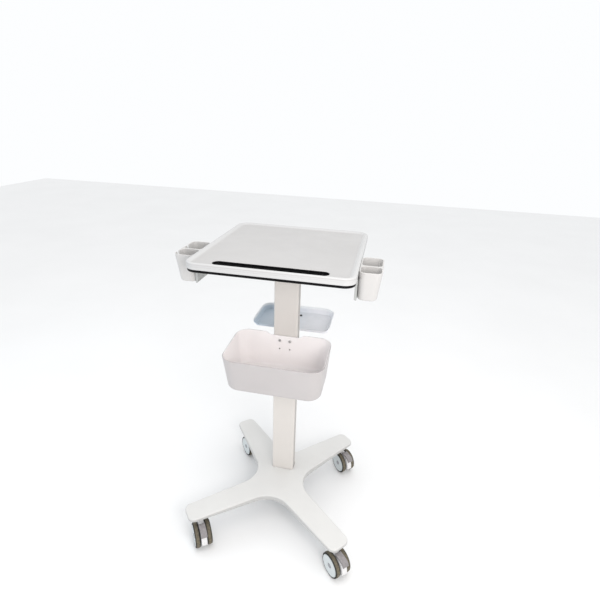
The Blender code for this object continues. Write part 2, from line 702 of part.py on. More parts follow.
def rear_rim(_, y):
    """Height of the rear tray's rim: a low lip in front, higher sides, highest at the back."""
    sides = smoothstep((y - REAR_FRONT_Y) / REAR_FRONT_RADIUS)
    back = smoothstep((y - REAR_BACK_Y + REAR_BACK_RADIUS) / REAR_BACK_RADIUS)
    return REAR_LIP_Z + (REAR_SIDE_Z - REAR_LIP_Z) * sides + (REAR_BACK_Z - REAR_SIDE_Z) * back


def make_rear_tray():
    """A shallow tray behind the column, on an angle bracket."""
    plan = Footprint((-REAR_HALF_WIDTH, REAR_HALF_WIDTH), (REAR_FRONT_Y, REAR_BACK_Y),
                     REAR_FRONT_RADIUS, REAR_BACK_RADIUS)
    flare = REAR_FLARE
    wall = REAR_WALL
    rings = [
        ring(plan.outline(flare + 0.0025), REAR_BOTTOM_Z),
        ring(plan.outline(flare), REAR_BOTTOM_Z + 0.0015),
        ring(plan.outline(), rear_rim),
        ring(plan.outline(wall), rear_rim),
        ring(plan.outline(flare + wall - 0.001), REAR_FLOOR_Z + 0.002),
        ring(plan.outline(flare + wall + 0.002), REAR_FLOOR_Z),
    ]
    tray = add_object("rear_tray", loft(rings), "rear_tray", smooth=True)
    plate_top = REAR_BOTTOM_Z - GAP
    plate_bottom = plate_top - BRACKET_THICKNESS
    inner = COLUMN_BACK_Y + GAP
    angle = [(inner, plate_top - REAR_BRACKET_DROP),
             (inner + BRACKET_THICKNESS, plate_top - REAR_BRACKET_DROP),
             (inner + BRACKET_THICKNESS, plate_bottom - 0.012),
             (inner + BRACKET_THICKNESS + 0.012, plate_bottom),
             (REAR_BRACKET_END_Y, plate_bottom), (REAR_BRACKET_END_Y, plate_top),
             (inner, plate_top)]
    half = REAR_BRACKET_HALF_WIDTH
    bracket = add_object("rear_tray_bracket", prism(angle, -half, half, "X"), "rear_tray_bracket")
    for side, label in ((-1, "left"), (1, "right")):
        x = side * REAR_SCREW_X
        hole = (x, REAR_SCREW_Y, SCREW_HOLE_RADIUS, plate_bottom - THROUGH, REAR_FLOOR_Z + THROUGH)
        cut(tray, upright_cylinder(*hole))
        cut(bracket, upright_cylinder(*hole))
        body = screw_body(0.0045, 0.003, SCREW_RADIUS, 0.010)
        transformed(body, Matrix.Rotation(math.pi, 4, "X"))
        screw = add_object(f"rear_tray_screw_{label}", body, "black_screw", smooth=True)
        screw.location = (x, REAR_SCREW_Y, REAR_FLOOR_Z + GAP)


def side_range(side, inner, outer):
    """The x range of something at the tray's left (-1) or right (1) edge, lowest first."""
    return tuple(sorted((side * inner, side * outer)))


def make_probe_holder(side, label):
    """Two cups in one moulding, each open at the top and slotted for a cable on its outer wall."""
    taper = HOLDER_TAPER
    top = Footprint(side_range(side, HOLDER_INNER_X, HOLDER_OUTER_X),
                    (HOLDER_FRONT_Y, HOLDER_BACK_Y), HOLDER_RADIUS, HOLDER_RADIUS)
    bottom = Footprint(side_range(side, HOLDER_INNER_X, HOLDER_OUTER_X - taper),
                       (HOLDER_FRONT_Y + taper, HOLDER_BACK_Y - taper), HOLDER_RADIUS, HOLDER_RADIUS)
    rings = [ring(bottom.outline(0.004), HOLDER_BOTTOM_Z),
             ring(bottom.outline(), HOLDER_BOTTOM_Z + 0.004),
             ring(top.outline(), HOLDER_TOP_Z - 0.001), ring(top.outline(0.001), HOLDER_TOP_Z)]
    holder = add_object(f"probe_holder_{label}", loft(rings), "probe_holder", smooth=True)
    wall = HOLDER_WALL
    floor = HOLDER_BOTTOM_Z + HOLDER_FLOOR
    cups = ((HOLDER_FRONT_Y + wall, CUP_DIVIDER_Y[0], taper, 0.0),
            (CUP_DIVIDER_Y[1], HOLDER_BACK_Y - wall, 0.0, taper))
    for front, back, front_taper, back_taper in cups:
        mouth = Footprint(side_range(side, HOLDER_INNER_X + wall, HOLDER_OUTER_X - wall),
                          (front, back), CUP_RADIUS, CUP_RADIUS)
        base = Footprint(side_range(side, HOLDER_INNER_X + wall, HOLDER_OUTER_X - wall - taper),
                         (front + front_taper, back - back_taper), CUP_RADIUS, CUP_RADIUS)
        cut(holder, loft([ring(base.outline(), floor), ring(mouth.outline(), HOLDER_TOP_Z),
                          ring(mouth.outline(), HOLDER_TOP_Z + THROUGH)]))
    for y in CABLE_SLOT_Y:
        half = CABLE_SLOT_HALF_WIDTH
        slot_floor = HOLDER_TOP_Z - CABLE_SLOT_DEPTH + half
        outline = [(y + half, HOLDER_TOP_Z + THROUGH), (y - half, HOLDER_TOP_Z + THROUGH)]
        outline += arc((y, slot_floor), half, 180, 360, 4)
        low, high = side_range(side, HOLDER_OUTER_X - 2 * wall - taper, HOLDER_OUTER_X + THROUGH)
        cut(holder, prism(outline, low, high, "X"))


def make_holder_bracket(side, label):
    """An angle that hangs from the tray's bottom shell and carries the probe holder."""
    top = SHELL_BOTTOM_Z - GAP
    bottom = top - BRACKET_THICKNESS
    leg_outer = HOLDER_INNER_X - GAP
    leg_bottom = HOLDER_BOTTOM_Z + 0.0005
    outline = [(HOLDER_BRACKET_INNER_X, top), (HOLDER_BRACKET_INNER_X, bottom),
               (HOLDER_LEG_INNER_X - 0.008, bottom), (HOLDER_LEG_INNER_X, bottom - 0.008),
               (HOLDER_LEG_INNER_X, leg_bottom + 0.003),
               (HOLDER_LEG_INNER_X + 0.003, leg_bottom), (leg_outer, leg_bottom), (leg_outer, top)]
    outline = [(side * x, z) for x, z in outline]
    body = prism(outline, HOLDER_BRACKET_Y[0], HOLDER_BRACKET_Y[1], "Y")
    add_object(f"probe_holder_bracket_{label}", body, "probe_holder_bracket")


# ---- casters ---------------------------------------------------------------------------------------

def stem_body():
    """Spindle below, collar under the base frame, threaded stud into it."""
    collar_bottom = NECK_TOP_Z + GAP
    collar_top = FRAME_BOTTOM_Z - GAP
    profile = [(SPINDLE_RADIUS, SPINDLE_BOTTOM_Z), (SPINDLE_RADIUS, collar_bottom),
               (COLLAR_RADIUS, collar_bottom), (COLLAR_RADIUS, collar_top),
               (STUD_RADIUS, collar_top), (STUD_RADIUS, STUD_TOP_Z)]
    return turned(profile, 16)


def caster_body_object(name):
    """The body between the two wheels: a plate with a neck, an axle hole and a pedal lug."""
    axle = (TRAIL, WHEEL_RADIUS)
    plate = [(0.009, 0.0735), (0.009, NECK_BOTTOM_Z + 0.002), (-0.009, NECK_BOTTOM_Z + 0.002),
             (-0.009, 0.0600)]
    plate += arc(axle, 0.0175, 200, 285, 5)
    plate += [(0.0600, 0.0290)]
    plate += arc(axle, BODY_FRONT_RADIUS, -8, 52, 6)
    body = prism(plate, -BODY_HALF_WIDTH, BODY_HALF_WIDTH, "Y")
    obj = add_object(name, body, "caster_body")
    join(obj, upright_cylinder(0.0, 0.0, NECK_RADIUS, NECK_BOTTOM_Z, NECK_TOP_Z, 16))
    pivot_x, pivot_z = PEDAL_PIVOT
    lug = [(pivot_x - LUG_RADIUS, 0.070), (pivot_x + LUG_RADIUS, 0.070)]
    lug += arc(PEDAL_PIVOT, LUG_RADIUS, 0, 180, 6)
    join(obj, prism(lug, -LUG_HALF_WIDTH, LUG_HALF_WIDTH, "Y"))
    cut(obj, upright_cylinder(0.0, 0.0, SPINDLE_RADIUS + GAP, SPINDLE_BOTTOM_Z - GAP,
                              NECK_TOP_Z + THROUGH, 16))
    width = BODY_HALF_WIDTH + THROUGH
    cut(obj, lying_cylinder(TRAIL, WHEEL_RADIUS, AXLE_HOLE_RADIUS, -width, width))
    cut(obj, lying_cylinder(pivot_x, pivot_z, PIN_RADIUS + GAP, -width, width, 8))
    return obj


def pedal_object(name):
    """The brake pedal, modelled about its pivot: a ribbed pad, forked over the body's lug."""
    section = [(-0.0070, 0.0010), (-0.0050, -0.0030), (-0.0025, -0.0045), (0.0025, -0.0045),
               (0.0060, -0.0030), (0.0100, -0.0005), (0.0220, -0.0005), (0.0300, -0.0035),
               (0.0342, -0.0095), (0.0368, -0.0100), (0.0374, -0.0060), (0.0340, 0.0000)]
    ribs = []
    for i in range(5):
        x = 0.0285 - i * 0.0052
        height = 0.0060 - 0.0018 * ((x - 0.010) / 0.020) ** 2
        ribs += [(x, height - 0.0008), (x - 0.0008, height), (x - 0.0030, height),
                 (x - 0.0038, height - 0.0008)]
    section += ribs + [(-0.0040, 0.0058), (-0.0068, 0.0040)]
    obj = add_object(name, prism(section, -PEDAL_HALF_WIDTH, PEDAL_HALF_WIDTH, "Y"), "brake_pedal")
    slot_half = LUG_HALF_WIDTH + GAP
    slot = [(-0.0080, -0.0060), (0.0070, -0.0060), (0.0070, LUG_RADIUS + GAP),
            (-0.0080, LUG_RADIUS + GAP)]
    cut(obj, prism(slot, -slot_half, slot_half, "Y"))
    join(obj, lying_cylinder(0.0, 0.0, PIN_RADIUS, -slot_half - 0.001, slot_half + 0.001, 8))
    return obj


def wheel_bodies(side):
    """Tyre and disc of the wheel on one side of the caster, turned about Z with the hub at 0."""
    flat = 1.0 / math.cos(math.pi / ROUND_SEGMENTS)
    tyre = [(RIM_RADIUS + GAP, WHEEL_INNER), (0.0365, WHEEL_INNER), (WHEEL_RADIUS, 0.0130),
            (WHEEL_RADIUS, 0.0240), (0.0365, WHEEL_OUTER), (RIM_RADIUS + GAP, WHEEL_OUTER)]
    disc = [(AXLE_HOLE_RADIUS, WHEEL_INNER), (RIM_RADIUS, WHEEL_INNER), (RIM_RADIUS, 0.0262),
            (0.0270, 0.0268), (0.0240, 0.0252), (AXLE_HOLE_RADIUS, 0.0252)]
    bodies = []
    for profile in (tyre, disc):
        profile = [(radius * flat, side * width) for radius, width in profile]
        bodies.append(turned(profile, ROUND_SEGMENTS, closed_loop=True, half_step=True))
    return bodies


def axle_body():
    head = 0.0255
    tip = 0.0268
    profile = [(AXLE_HEAD_RADIUS, -tip), (AXLE_HEAD_RADIUS, -head), (AXLE_RADIUS, -head),
               (AXLE_RADIUS, head), (AXLE_HEAD_RADIUS, head), (AXLE_HEAD_RADIUS, tip)]
    return turned(profile, SMALL_SEGMENTS)


def along_axle(bm):
    """Lays a body turned about Z along the caster's axle, which is its local Y."""
    return transformed(bm, Matrix.Rotation(-math.pi / 2, 4, "X"))


def make_casters():
    """Four casters; the copies share the meshes of the first."""
    meshes = {}
    body = caster_body_object("caster_body_pattern")
    pedal = pedal_object("brake_pedal_pattern")
    meshes["caster_body"] = body.data
    meshes["brake_pedal"] = pedal.data
    bpy.data.objects.remove(body)
    bpy.data.objects.remove(pedal)
    turned_pieces = {"caster_stem": (stem_body(), "caster_stem"),
                     "caster_axle": (along_axle(axle_body()), "caster_axle")}
    for side, label in ((1, "left"), (-1, "right")):
        tyre, disc = wheel_bodies(side)
        turned_pieces[f"tyre_{label}"] = (along_axle(tyre), "tyre")
        turned_pieces[f"wheel_disc_{label}"] = (along_axle(disc), "wheel_disc")
    for piece, (bm, finish_name) in turned_pieces.items():
        pattern = add_object(piece, bm, finish_name, smooth=True)
        meshes[piece] = pattern.data
        bpy.data.objects.remove(pattern)

    hub = Vector((TRAIL, 0.0, WHEEL_RADIUS))
    places = {"caster_stem": Vector(), "caster_body": Vector(), "caster_axle": hub,
              "brake_pedal": Vector((PEDAL_PIVOT[0], 0.0, PEDAL_PIVOT[1])),
              "tyre_left": hub, "tyre_right": hub, "wheel_disc_left": hub, "wheel_disc_right": hub}
    for corner, (side, stem, direction) in CASTERS.items():
        pivot = bpy.data.objects.new(f"{corner}_caster", None)
        bpy.context.collection.objects.link(pivot)
        pivot.location = (side * stem[0], stem[1], 0.0)
        pivot.rotation_euler = (0.0, 0.0, math.radians(direction))
        for piece, mesh in meshes.items():
            obj = bpy.data.objects.new(f"{corner}_{piece}", mesh)
            bpy.context.collection.objects.link(obj)
            obj.parent = pivot
            obj.location = places[piece]


def clear_scene():
    for obj in list(bpy.data.objects):
        bpy.data.objects.remove(obj)


def main():
    clear_scene()
    make_tray_top()
    make_slot_insert()
    make_bottom_shell()
    make_mounting_plate()
    make_tray_screws()
    make_column()
    make_column_foot()
    make_foot_bolts()
    make_base_cover()
    make_base_frame()
    make_basket()
    make_rear_tray()
    for side, label in ((-1, "left"), (1, "right")):
        make_probe_holder(side, label)
        make_holder_bracket(side, label)
    make_casters()


main()
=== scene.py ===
"""Looks of the wheeled trolley for a portable ultrasound scanner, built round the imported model.

Metres, +Z up, front towards -Y. Every piece takes its place and size from the frame's boxes and
joints; the names at the top are the form's own radii and thicknesses.
"""
import json
import math

import bmesh
import bpy
from mathutils import Matrix, Vector


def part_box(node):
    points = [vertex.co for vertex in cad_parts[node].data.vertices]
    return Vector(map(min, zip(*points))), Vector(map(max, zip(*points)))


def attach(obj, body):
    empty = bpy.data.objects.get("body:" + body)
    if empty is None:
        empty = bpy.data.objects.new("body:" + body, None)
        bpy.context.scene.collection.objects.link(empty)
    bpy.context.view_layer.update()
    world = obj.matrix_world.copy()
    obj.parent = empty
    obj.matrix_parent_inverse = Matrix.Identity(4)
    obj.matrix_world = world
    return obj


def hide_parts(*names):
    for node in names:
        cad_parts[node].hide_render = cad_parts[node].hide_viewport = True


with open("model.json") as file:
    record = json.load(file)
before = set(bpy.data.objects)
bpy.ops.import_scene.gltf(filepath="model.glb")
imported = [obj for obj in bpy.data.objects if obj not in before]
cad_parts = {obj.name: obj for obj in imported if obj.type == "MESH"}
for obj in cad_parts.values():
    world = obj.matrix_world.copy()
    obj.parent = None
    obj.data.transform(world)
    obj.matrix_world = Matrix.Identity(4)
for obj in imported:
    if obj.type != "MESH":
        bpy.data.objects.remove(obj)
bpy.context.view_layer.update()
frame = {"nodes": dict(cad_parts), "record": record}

# Tray
TRAY_FRONT_RADIUS = 0.031
TRAY_BACK_RADIUS = 0.038
TRAY_WALL = 0.0045
DECK_SKIN = 0.004
SHELL_INSET = 0.0015
INSERT_FLANGE = 0.003
INSERT_WALL = 0.0018
SLOT_RADIUS = 0.01548
TRAY_SIDE_HEIGHT = 0.0185
PART_LINE = 0.0085                    # above the white side's lower edge
RIM_CREST = 0.0065                    # from the tray's side in to the rim's highest line
RIM_FALL = 0.0130                     # from there in to the deck
BOSS_RADIUS = 0.007
SHELL_FLOOR = 0.0025
SCREW_NUMBERS = range(1, 5)

# Column
COLUMN_RADIUS = 0.006
COLUMN_WALL = 0.003
GROOVE_OFFSETS = (-0.0105, 0.0105)
GROOVE_HALF_WIDTH = 0.0015
GROOVE_DEPTH = 0.0012

# Base: arms run from the hub to a little past each caster's swivel axis
ARM_ANGLES = {"front": -40.0, "back": 48.0}
ARM_HALF_WIDTHS = {"front": 0.035, "back": 0.032}
ARM_REACHES = {"front": 0.040, "back": 0.036}
TIP_RADIUS = 0.022
FRONT_WEB = (0.0, -0.076, 0.085)
BACK_WEB = (0.0, 0.093, 0.060)
SIDE_WEB = (0.057, -0.011, 0.080)
COVER_WALL = 0.003
COVER_EDGE_RADIUS = 0.005
COVER_EDGE_LIFT = 0.010               # the lower edge is this much higher at the arms' ends
COVER_RISE = (0.10, 0.32)             # distances from the column between which it rises

# Basket, rear tray, probe holders
BASKET_WALL = 0.0035
BASKET_DRAFT = 0.0085
BASKET_FRONT_DRAFT = 0.015
BASKET_FRONT_RADIUS = 0.040
BASKET_BACK_RADIUS = 0.038
BASKET_FRONT_DROP = 0.013
BASKET_DIP_DROP = 0.009
BASKET_DIP = (0.046, 0.060)
BASKET_SCREW_X = 0.016
BASKET_HOLE_DROP = 0.029
REAR_WALL = 0.003
REAR_FLARE = 0.0075
REAR_FRONT_RADIUS = 0.022
REAR_BACK_RADIUS = 0.036
REAR_LIP_DROP = 0.012
REAR_SIDE_DROP = 0.002
HOLDER_TAPER = 0.008
HOLDER_RADIUS = 0.018
HOLDER_WALL = 0.0035
HOLDER_FLOOR = 0.004
CUP_RADIUS = 0.012
CUP_DIVIDER = (0.054, 0.060)          # from the holder's front
CABLE_SLOTS = (0.027, 0.087)          # from the holder's front
CABLE_SLOT_HALF_WIDTH = 0.0045
CABLE_SLOT_DEPTH = 0.018

# Casters
TRAIL = 0.027
WHEEL_RADIUS = 0.0385
WHEEL_INNER = 0.0104
WHEEL_OUTER = 0.0266
RIM_RADIUS = 0.0330
SHOULDER_RADIUS = 0.0035
CROWN = 0.0006                        # the tyre's middle stands this much above its shoulders
BODY_HALF_WIDTH = 0.0085
BODY_FRONT_RADIUS = 0.043
NECK_RADIUS = 0.013
NECK_BOTTOM = 0.0765
NECK_TOP = 0.0880
PEDAL_PIVOT = (0.036, 0.079)
PEDAL_HALF_WIDTH = 0.0095
LUG_RADIUS = 0.0042
PIVOT_BORE = 0.0023
AXLE_BORE = 0.0043
STEM_BORE = 0.0053
STEM_BORE_BOTTOM = 0.0587
RIB_COUNT = 7
RIB_PITCH = 0.0044
CORNERS = ("front_left", "front_right", "back_left", "back_right")

# Everywhere
GAP = 0.0003                          # between neighbouring parts
THROUGH = 0.003                       # how far a cutting body reaches past what it cuts
SCREW_HOLE = 0.0028
SCREW_HEAD = 0.003
SHARP_EDGE = 40.0                     # degrees; sharper edges than this are rounded

# Camera: place, and yaw, pitch and roll in degrees
CAMERA_PLACE = (0.2701, -1.1277, 1.2896)
CAMERA_TURN = (11.11, -23.47, 2.07)
CAMERA_LENS = 26.06

# Lamps: name, place, target, diameter, watts, colour
LAMPS = (("overhead", (0.3, -0.4, 3.0), (0.0, 0.0, 0.5), 2.0, 18.0, (1.0, 0.98, 0.95)),
         ("cool_left", (-1.9, -0.9, 1.0), (0.0, 0.0, 0.6), 1.2, 4.0, (0.62, 0.82, 1.0)),
         ("warm_front", (0.55, -0.95, 1.15), (0.0, 0.0, 0.60), 0.5, 5.6, (1.0, 0.95, 0.92)))
SKY = (0.98, 0.99, 1.0, 1.0)
FLOOR_HALF_SIZE = 6.0


# ---- outlines ----

def arc(center, radius, start, end, segments):
    """Points on a circle from angle start to angle end, in degrees, both included."""
    angles = [math.radians(start + (end - start) * i / segments) for i in range(segments + 1)]
    return [(center[0] + radius * math.cos(a), center[1] + radius * math.sin(a)) for a in angles]


def spread(start, end, count):
    """Evenly spaced values strictly between start and end."""
    return [start + (end - start) * (i + 1) / (count + 1) for i in range(count)]


class Footprint:
    """A rectangle with rounded corners seen from above, with extra points along its back edge."""

    def __init__(self, x_range, y_range, front_radius, back_radius, segments=12, back_points=()):
        self.x_range = x_range
        self.y_range = y_range
        self.front_radius = front_radius
        self.back_radius = back_radius
        self.segments = segments
        self.back_points = back_points

    def outline(self, inset=0.0, front_inset=None):
        """Counter-clockwise points, moved inwards by inset."""
        left = self.x_range[0] + inset
        right = self.x_range[1] - inset
        front = self.y_range[0] + (inset if front_inset is None else front_inset)
        back = self.y_range[1] - inset
        r_front = max(self.front_radius - inset, 0.0005)
        r_back = max(self.back_radius - inset, 0.0005)
        n = self.segments
        points = arc((left + r_front, front + r_front), r_front, 180, 270, n)
        points += arc((right - r_front, front + r_front), r_front, 270, 360, n)
        points += arc((right - r_back, back - r_back), r_back, 0, 90, n)
        points += [(x, back) for x in self.back_points]
        points += arc((left + r_back, back - r_back), r_back, 90, 180, n)
        return points


def rounded_polygon(corners, inset):
    """Outline of a counter-clockwise polygon, moved inwards, with an arc at every corner."""
    points = [Vector(corner[:2]) for corner in corners]
    edges = []
    for start, end in zip(points, points[1:] + points[:1]):
        direction = (end - start).normalized()
        edges.append((start + Vector((-direction.y, direction.x)) * inset, direction))
    outline = []
    for i, (_, _, radius, segments) in enumerate(corners):
        start_in, along_in = edges[i - 1]
        start_out, along_out = edges[i]
        cross = along_in.cross(along_out)
        apex = start_in + along_in * ((start_out - start_in).cross(along_out) / cross)
        turn = math.atan2(cross, along_in.dot(along_out))
        bend = 1 if turn > 0 else -1
        r = radius - bend * inset
        first = apex - along_in * (r * math.tan(abs(turn) / 2))
        center = first + Vector((-along_in.y, along_in.x)) * (bend * r)
        for k in range(segments + 1):
            spoke = Matrix.Rotation(turn * k / segments, 2) @ (first - center)
            outline.append(tuple(center + spoke))
    return outline


def smoothstep(value):
    """Eases from 0 to 1 while value goes from 0 to 1."""
    t = min(1.0, max(0.0, value))
    return t * t * (3.0 - 2.0 * t)


def quarter(radius, steps):
    """(inwards, down) steps of an edge rounding, from the side face up to the top face."""
    angles = [math.pi / 2 * i / steps for i in range(steps + 1)]
    return [(radius * (1 - math.cos(a)), radius * (1 - math.sin(a))) for a in angles]


# ---- meshes ----

def ring(outline, z):
    """An outline lifted to height z, which may be a rule that gives a height for x and y."""
    if callable(z):
        return [(x, y, z(x, y)) for x, y in outline]
    return [(x, y, z) for x, y in outline]


def loft(rings, closed_loop=False):
    """A closed skin through rings of equal length, capped at both ends unless it is a loop."""
    bm = bmesh.new()
    rows = [[bm.verts.new(point) for point in one_ring] for one_ring in rings]
    pairs = list(zip(rows, rows[1:]))
    if closed_loop:
        pairs.append((rows[-1], rows[0]))
    else:
        bm.faces.new(list(reversed(rows[0])))
        bm.faces.new(rows[-1])
    count = len(rows[0])
    for lower, upper in pairs:
        for i in range(count):
            j = (i + 1) % count
            bm.faces.new((lower[i], lower[j], upper[j], upper[i]))
    bmesh.ops.recalc_face_normals(bm, faces=bm.faces[:])
    return bm


def turned(profile, segments=32, closed_loop=False):
    """A body of revolution about Z through (radius, height) points."""
    rings = [ring(arc((0.0, 0.0), radius, 0.0, 360.0, segments)[:-1], z) for radius, z in profile]
    return loft(rings, closed_loop)


def node_center(node):
    """The middle of a CAD node's box at rest."""
    low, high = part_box(node)
    return [(a + b) / 2 for a, b in zip(low, high)]


def rolled_rim(plan, wall, rim_height):
    """Rings over a wall's rounded top edge, from its outer face to its inner face."""
    half = wall / 2
    rings = []
    for i in range(7):
        angle = math.pi * i / 6
        drop = half * (1.0 - math.sin(angle))
        rings.append(ring(plan.outline(half * (1.0 - math.cos(angle))),
                          lambda x, y, drop=drop: rim_height(x, y) - drop))
    return rings


def prism(outline, low, high, axis):
    """An outline pushed along X (outline in y, z) or along Y (outline in x, z)."""
    if axis == "X":
        return loft([[(low, u, v) for u, v in outline], [(high, u, v) for u, v in outline]])
    return loft([[(u, low, v) for u, v in outline], [(u, high, v) for u, v in outline]])


def moved(bm, matrix):
    bmesh.ops.transform(bm, matrix=matrix, verts=bm.verts[:])
    bmesh.ops.recalc_face_normals(bm, faces=bm.faces[:])
    return bm


def along_y(bm):
    """Lays a body turned about Z along Y."""
    return moved(bm, Matrix.Rotation(-math.pi / 2, 4, "X"))


def upright(x, y, radius, low, high, segments=24):
    """A cylinder along Z."""
    circle = arc((x, y), radius, 0.0, 360.0, segments)[:-1]
    return loft([ring(circle, low), ring(circle, high)])


def lying(x, z, radius, low, high, segments=24):
    """A cylinder along Y."""
    return prism(arc((x, z), radius, 0.0, 360.0, segments)[:-1], low, high, "Y")


def add_object(name, data):
    obj = bpy.data.objects.new(name, data)
    bpy.context.collection.objects.link(obj)
    return obj


def make_object(name, bm):
    mesh = bpy.data.meshes.new(name)
    bm.to_mesh(mesh)
    bm.free()
    return add_object(name, mesh)


def apply_modifiers(obj):
    graph = bpy.context.evaluated_depsgraph_get()
    result = bpy.data.meshes.new_from_object(obj.evaluated_get(graph))
    obj.modifiers.clear()
    before = obj.data
    obj.data = result
    bpy.data.meshes.remove(before)
    result.name = obj.name


def combine(obj, bm, operation):
    """Joins a body to an object, or cuts it away, with an exact Boolean."""
    tool = make_object("tool", bm)
    modifier = obj.modifiers.new("shape", "BOOLEAN")
    modifier.operation = operation
    modifier.solver = "EXACT"
    modifier.object = tool
    apply_modifiers(obj)
    tool_mesh = tool.data
    bpy.data.objects.remove(tool)
    bpy.data.meshes.remove(tool_mesh)


def join(obj, bm):
    combine(obj, bm, "UNION")


def cut(obj, bm):
    combine(obj, bm, "DIFFERENCE")


def soften(obj, width, segments=2):
    """Rounds the sharp edges."""
    bevel = obj.modifiers.new("edges", "BEVEL")
    bevel.width = width
    bevel.segments = segments
    bevel.limit_method = "ANGLE"
    bevel.angle_limit = math.radians(SHARP_EDGE)


def shade(obj, angle=50.0):
    """Smooth shading that keeps flat faces flat, with creases above the angle."""
    obj.data.shade_smooth()
    obj.data.set_sharp_from_angle(angle=math.radians(angle))
    weighted = obj.modifiers.new("normals", "WEIGHTED_NORMAL")
    weighted.weight = 100
    weighted.keep_sharp = True


def finish_piece(obj, body, material, slot_name, *nodes):
    """Gives a piece its material and the body it rides on, and hides the CAD nodes it stands for.
    """
    obj.data.materials.clear()
    obj.data.materials.append(material)
    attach(obj, body)
    if nodes:
        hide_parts(*nodes)


# ---- materials ----

class Finish:
    """A Principled material with helpers that add procedural detail to it."""

    def __init__(self, name, roughness, metallic=0.0, specular=0.5):
        self.material = bpy.data.materials.new(name)
        self.material.use_nodes = True
        self.tree = self.material.node_tree
        self.shader = self.tree.nodes["Principled BSDF"]
        self.shader.inputs["Roughness"].default_value = roughness
        self.shader.inputs["Metallic"].default_value = metallic
        self.shader.inputs["Specular IOR Level"].default_value = specular
        texture_coordinates = self.tree.nodes.new("ShaderNodeTexCoord")
        self.coords = texture_coordinates.outputs["Object"]
        self.normals = texture_coordinates.outputs["Normal"]

    def link(self, output, socket):
        self.tree.links.new(output, socket)

    def noise(self, scale, detail=3.0, stretch=None):
        """Noise from 0 to 1 in object space, stretched along an axis if asked."""
        node = self.tree.nodes.new("ShaderNodeTexNoise")
        node.inputs["Scale"].default_value = scale
        node.inputs["Detail"].default_value = detail
        source = self.coords
        if stretch:
            mapping = self.tree.nodes.new("ShaderNodeMapping")
            mapping.inputs["Scale"].default_value = stretch
            self.link(source, mapping.inputs["Vector"])
            source = mapping.outputs["Vector"]
        self.link(source, node.inputs["Vector"])
        return node.outputs["Fac"]

    def cells(self, scale):
        """Distance to the nearest cell centre, in object space."""
        node = self.tree.nodes.new("ShaderNodeTexVoronoi")
        node.inputs["Scale"].default_value = scale
        self.link(self.coords, node.inputs["Vector"])
        return node.outputs["Distance"]

    def remap(self, value, low, high, to_low, to_high):
        node = self.tree.nodes.new("ShaderNodeMapRange")
        self.link(value, node.inputs["Value"])
        for socket, number in zip(("From Min", "From Max", "To Min", "To Max"),
                                  (low, high, to_low, to_high)):
            node.inputs[socket].default_value = number
        return node.outputs["Result"]

    def patches(self, scale, detail, low, high, to_low=0.0, to_high=1.0, stretch=None):
        """Noise whose values from low to high become to_low to to_high."""
        return self.remap(self.noise(scale, detail, stretch), low, high, to_low, to_high)

    def axis(self, name, source=None):
        """One coordinate of the point being shaded, or of source, in the object's own space."""
        node = self.tree.nodes.new("ShaderNodeSeparateXYZ")
        self.link(source or self.coords, node.inputs["Vector"])
        return node.outputs[name]

    def math(self, operation, a, b):
        node = self.tree.nodes.new("ShaderNodeMath")
        node.operation = operation
        for value, socket in zip((a, b), node.inputs):
            if isinstance(value, (int, float)):
                socket.default_value = value
            else:
                self.link(value, socket)
        return node.outputs["Value"]

    def mix(self, factor, first, second):
        """Mixes two colours; each is a tuple or another node's output."""
        node = self.tree.nodes.new("ShaderNodeMix")
        node.data_type = "RGBA"
        self.link(factor, node.inputs["Factor"])
        for value, socket in ((first, node.inputs["A"]), (second, node.inputs["B"])):
            if isinstance(value, tuple):
                socket.default_value = (*value, 1.0)
            else:
                self.link(value, socket)
        return node.outputs["Result"]

    def color(self, output):
        self.link(output, self.shader.inputs["Base Color"])

    def roughness(self, output):
        self.link(output, self.shader.inputs["Roughness"])

    def bump(self, height, distance, strength=1.0):
        node = self.tree.nodes.new("ShaderNodeBump")
        node.inputs["Distance"].default_value = distance
        node.inputs["Strength"].default_value = strength
        self.link(height, node.inputs["Height"])
        last = self.shader.inputs["Normal"]
        if last.is_linked:
            self.link(last.links[0].from_socket, node.inputs["Normal"])
        self.link(node.outputs["Normal"], last)


def scaled(color, factor):
    return tuple(min(1.0, c * factor) for c in color)


def moulding(name, color, roughness=0.42, grain=1400.0, darker_below=None, painted_side_shade=1.0):
    """Satin moulded plastic: a fine sparked grain, faint mottling, a few rubbed patches; if asked,
    darker in patches low down, and painted shade on upright faces.
    """
    finish = Finish(name, roughness)
    mottle = finish.patches(9.0, 4.0, 0.35, 0.65)
    tone = finish.mix(mottle, scaled(color, 0.975), scaled(color, 1.015))
    specks = finish.patches(420.0, 1.0, 0.68, 0.74, 0.0, 0.25)
    tone = finish.mix(specks, tone, scaled(color, 0.90))
    # Darker in patches towards the lower edge.
    if darker_below is not None:
        low = finish.remap(finish.axis("Z"), darker_below, darker_below + 0.02, 1.0, 0.0)
        patchy_mask = finish.math("MULTIPLY", low, finish.patches(60.0, 3.0, 0.4, 0.7, 0.0, 0.5))
        tone = finish.mix(patchy_mask, tone, scaled(color, 0.80))
    # Painted shade: faces that stand upright are darker than the top.
    if painted_side_shade != 1.0:
        side_shade_mask = finish.remap(finish.axis("Z", finish.normals), 0.35, 0.95, 1.0, 0.0)
        tone = finish.mix(side_shade_mask, tone, scaled(color, painted_side_shade))
    finish.color(tone)
    finish.roughness(finish.patches(18.0, 5.0, 0.35, 0.7, roughness - 0.06, roughness + 0.08))
    finish.bump(finish.noise(grain, 2.0), 0.00004)
    return finish.material


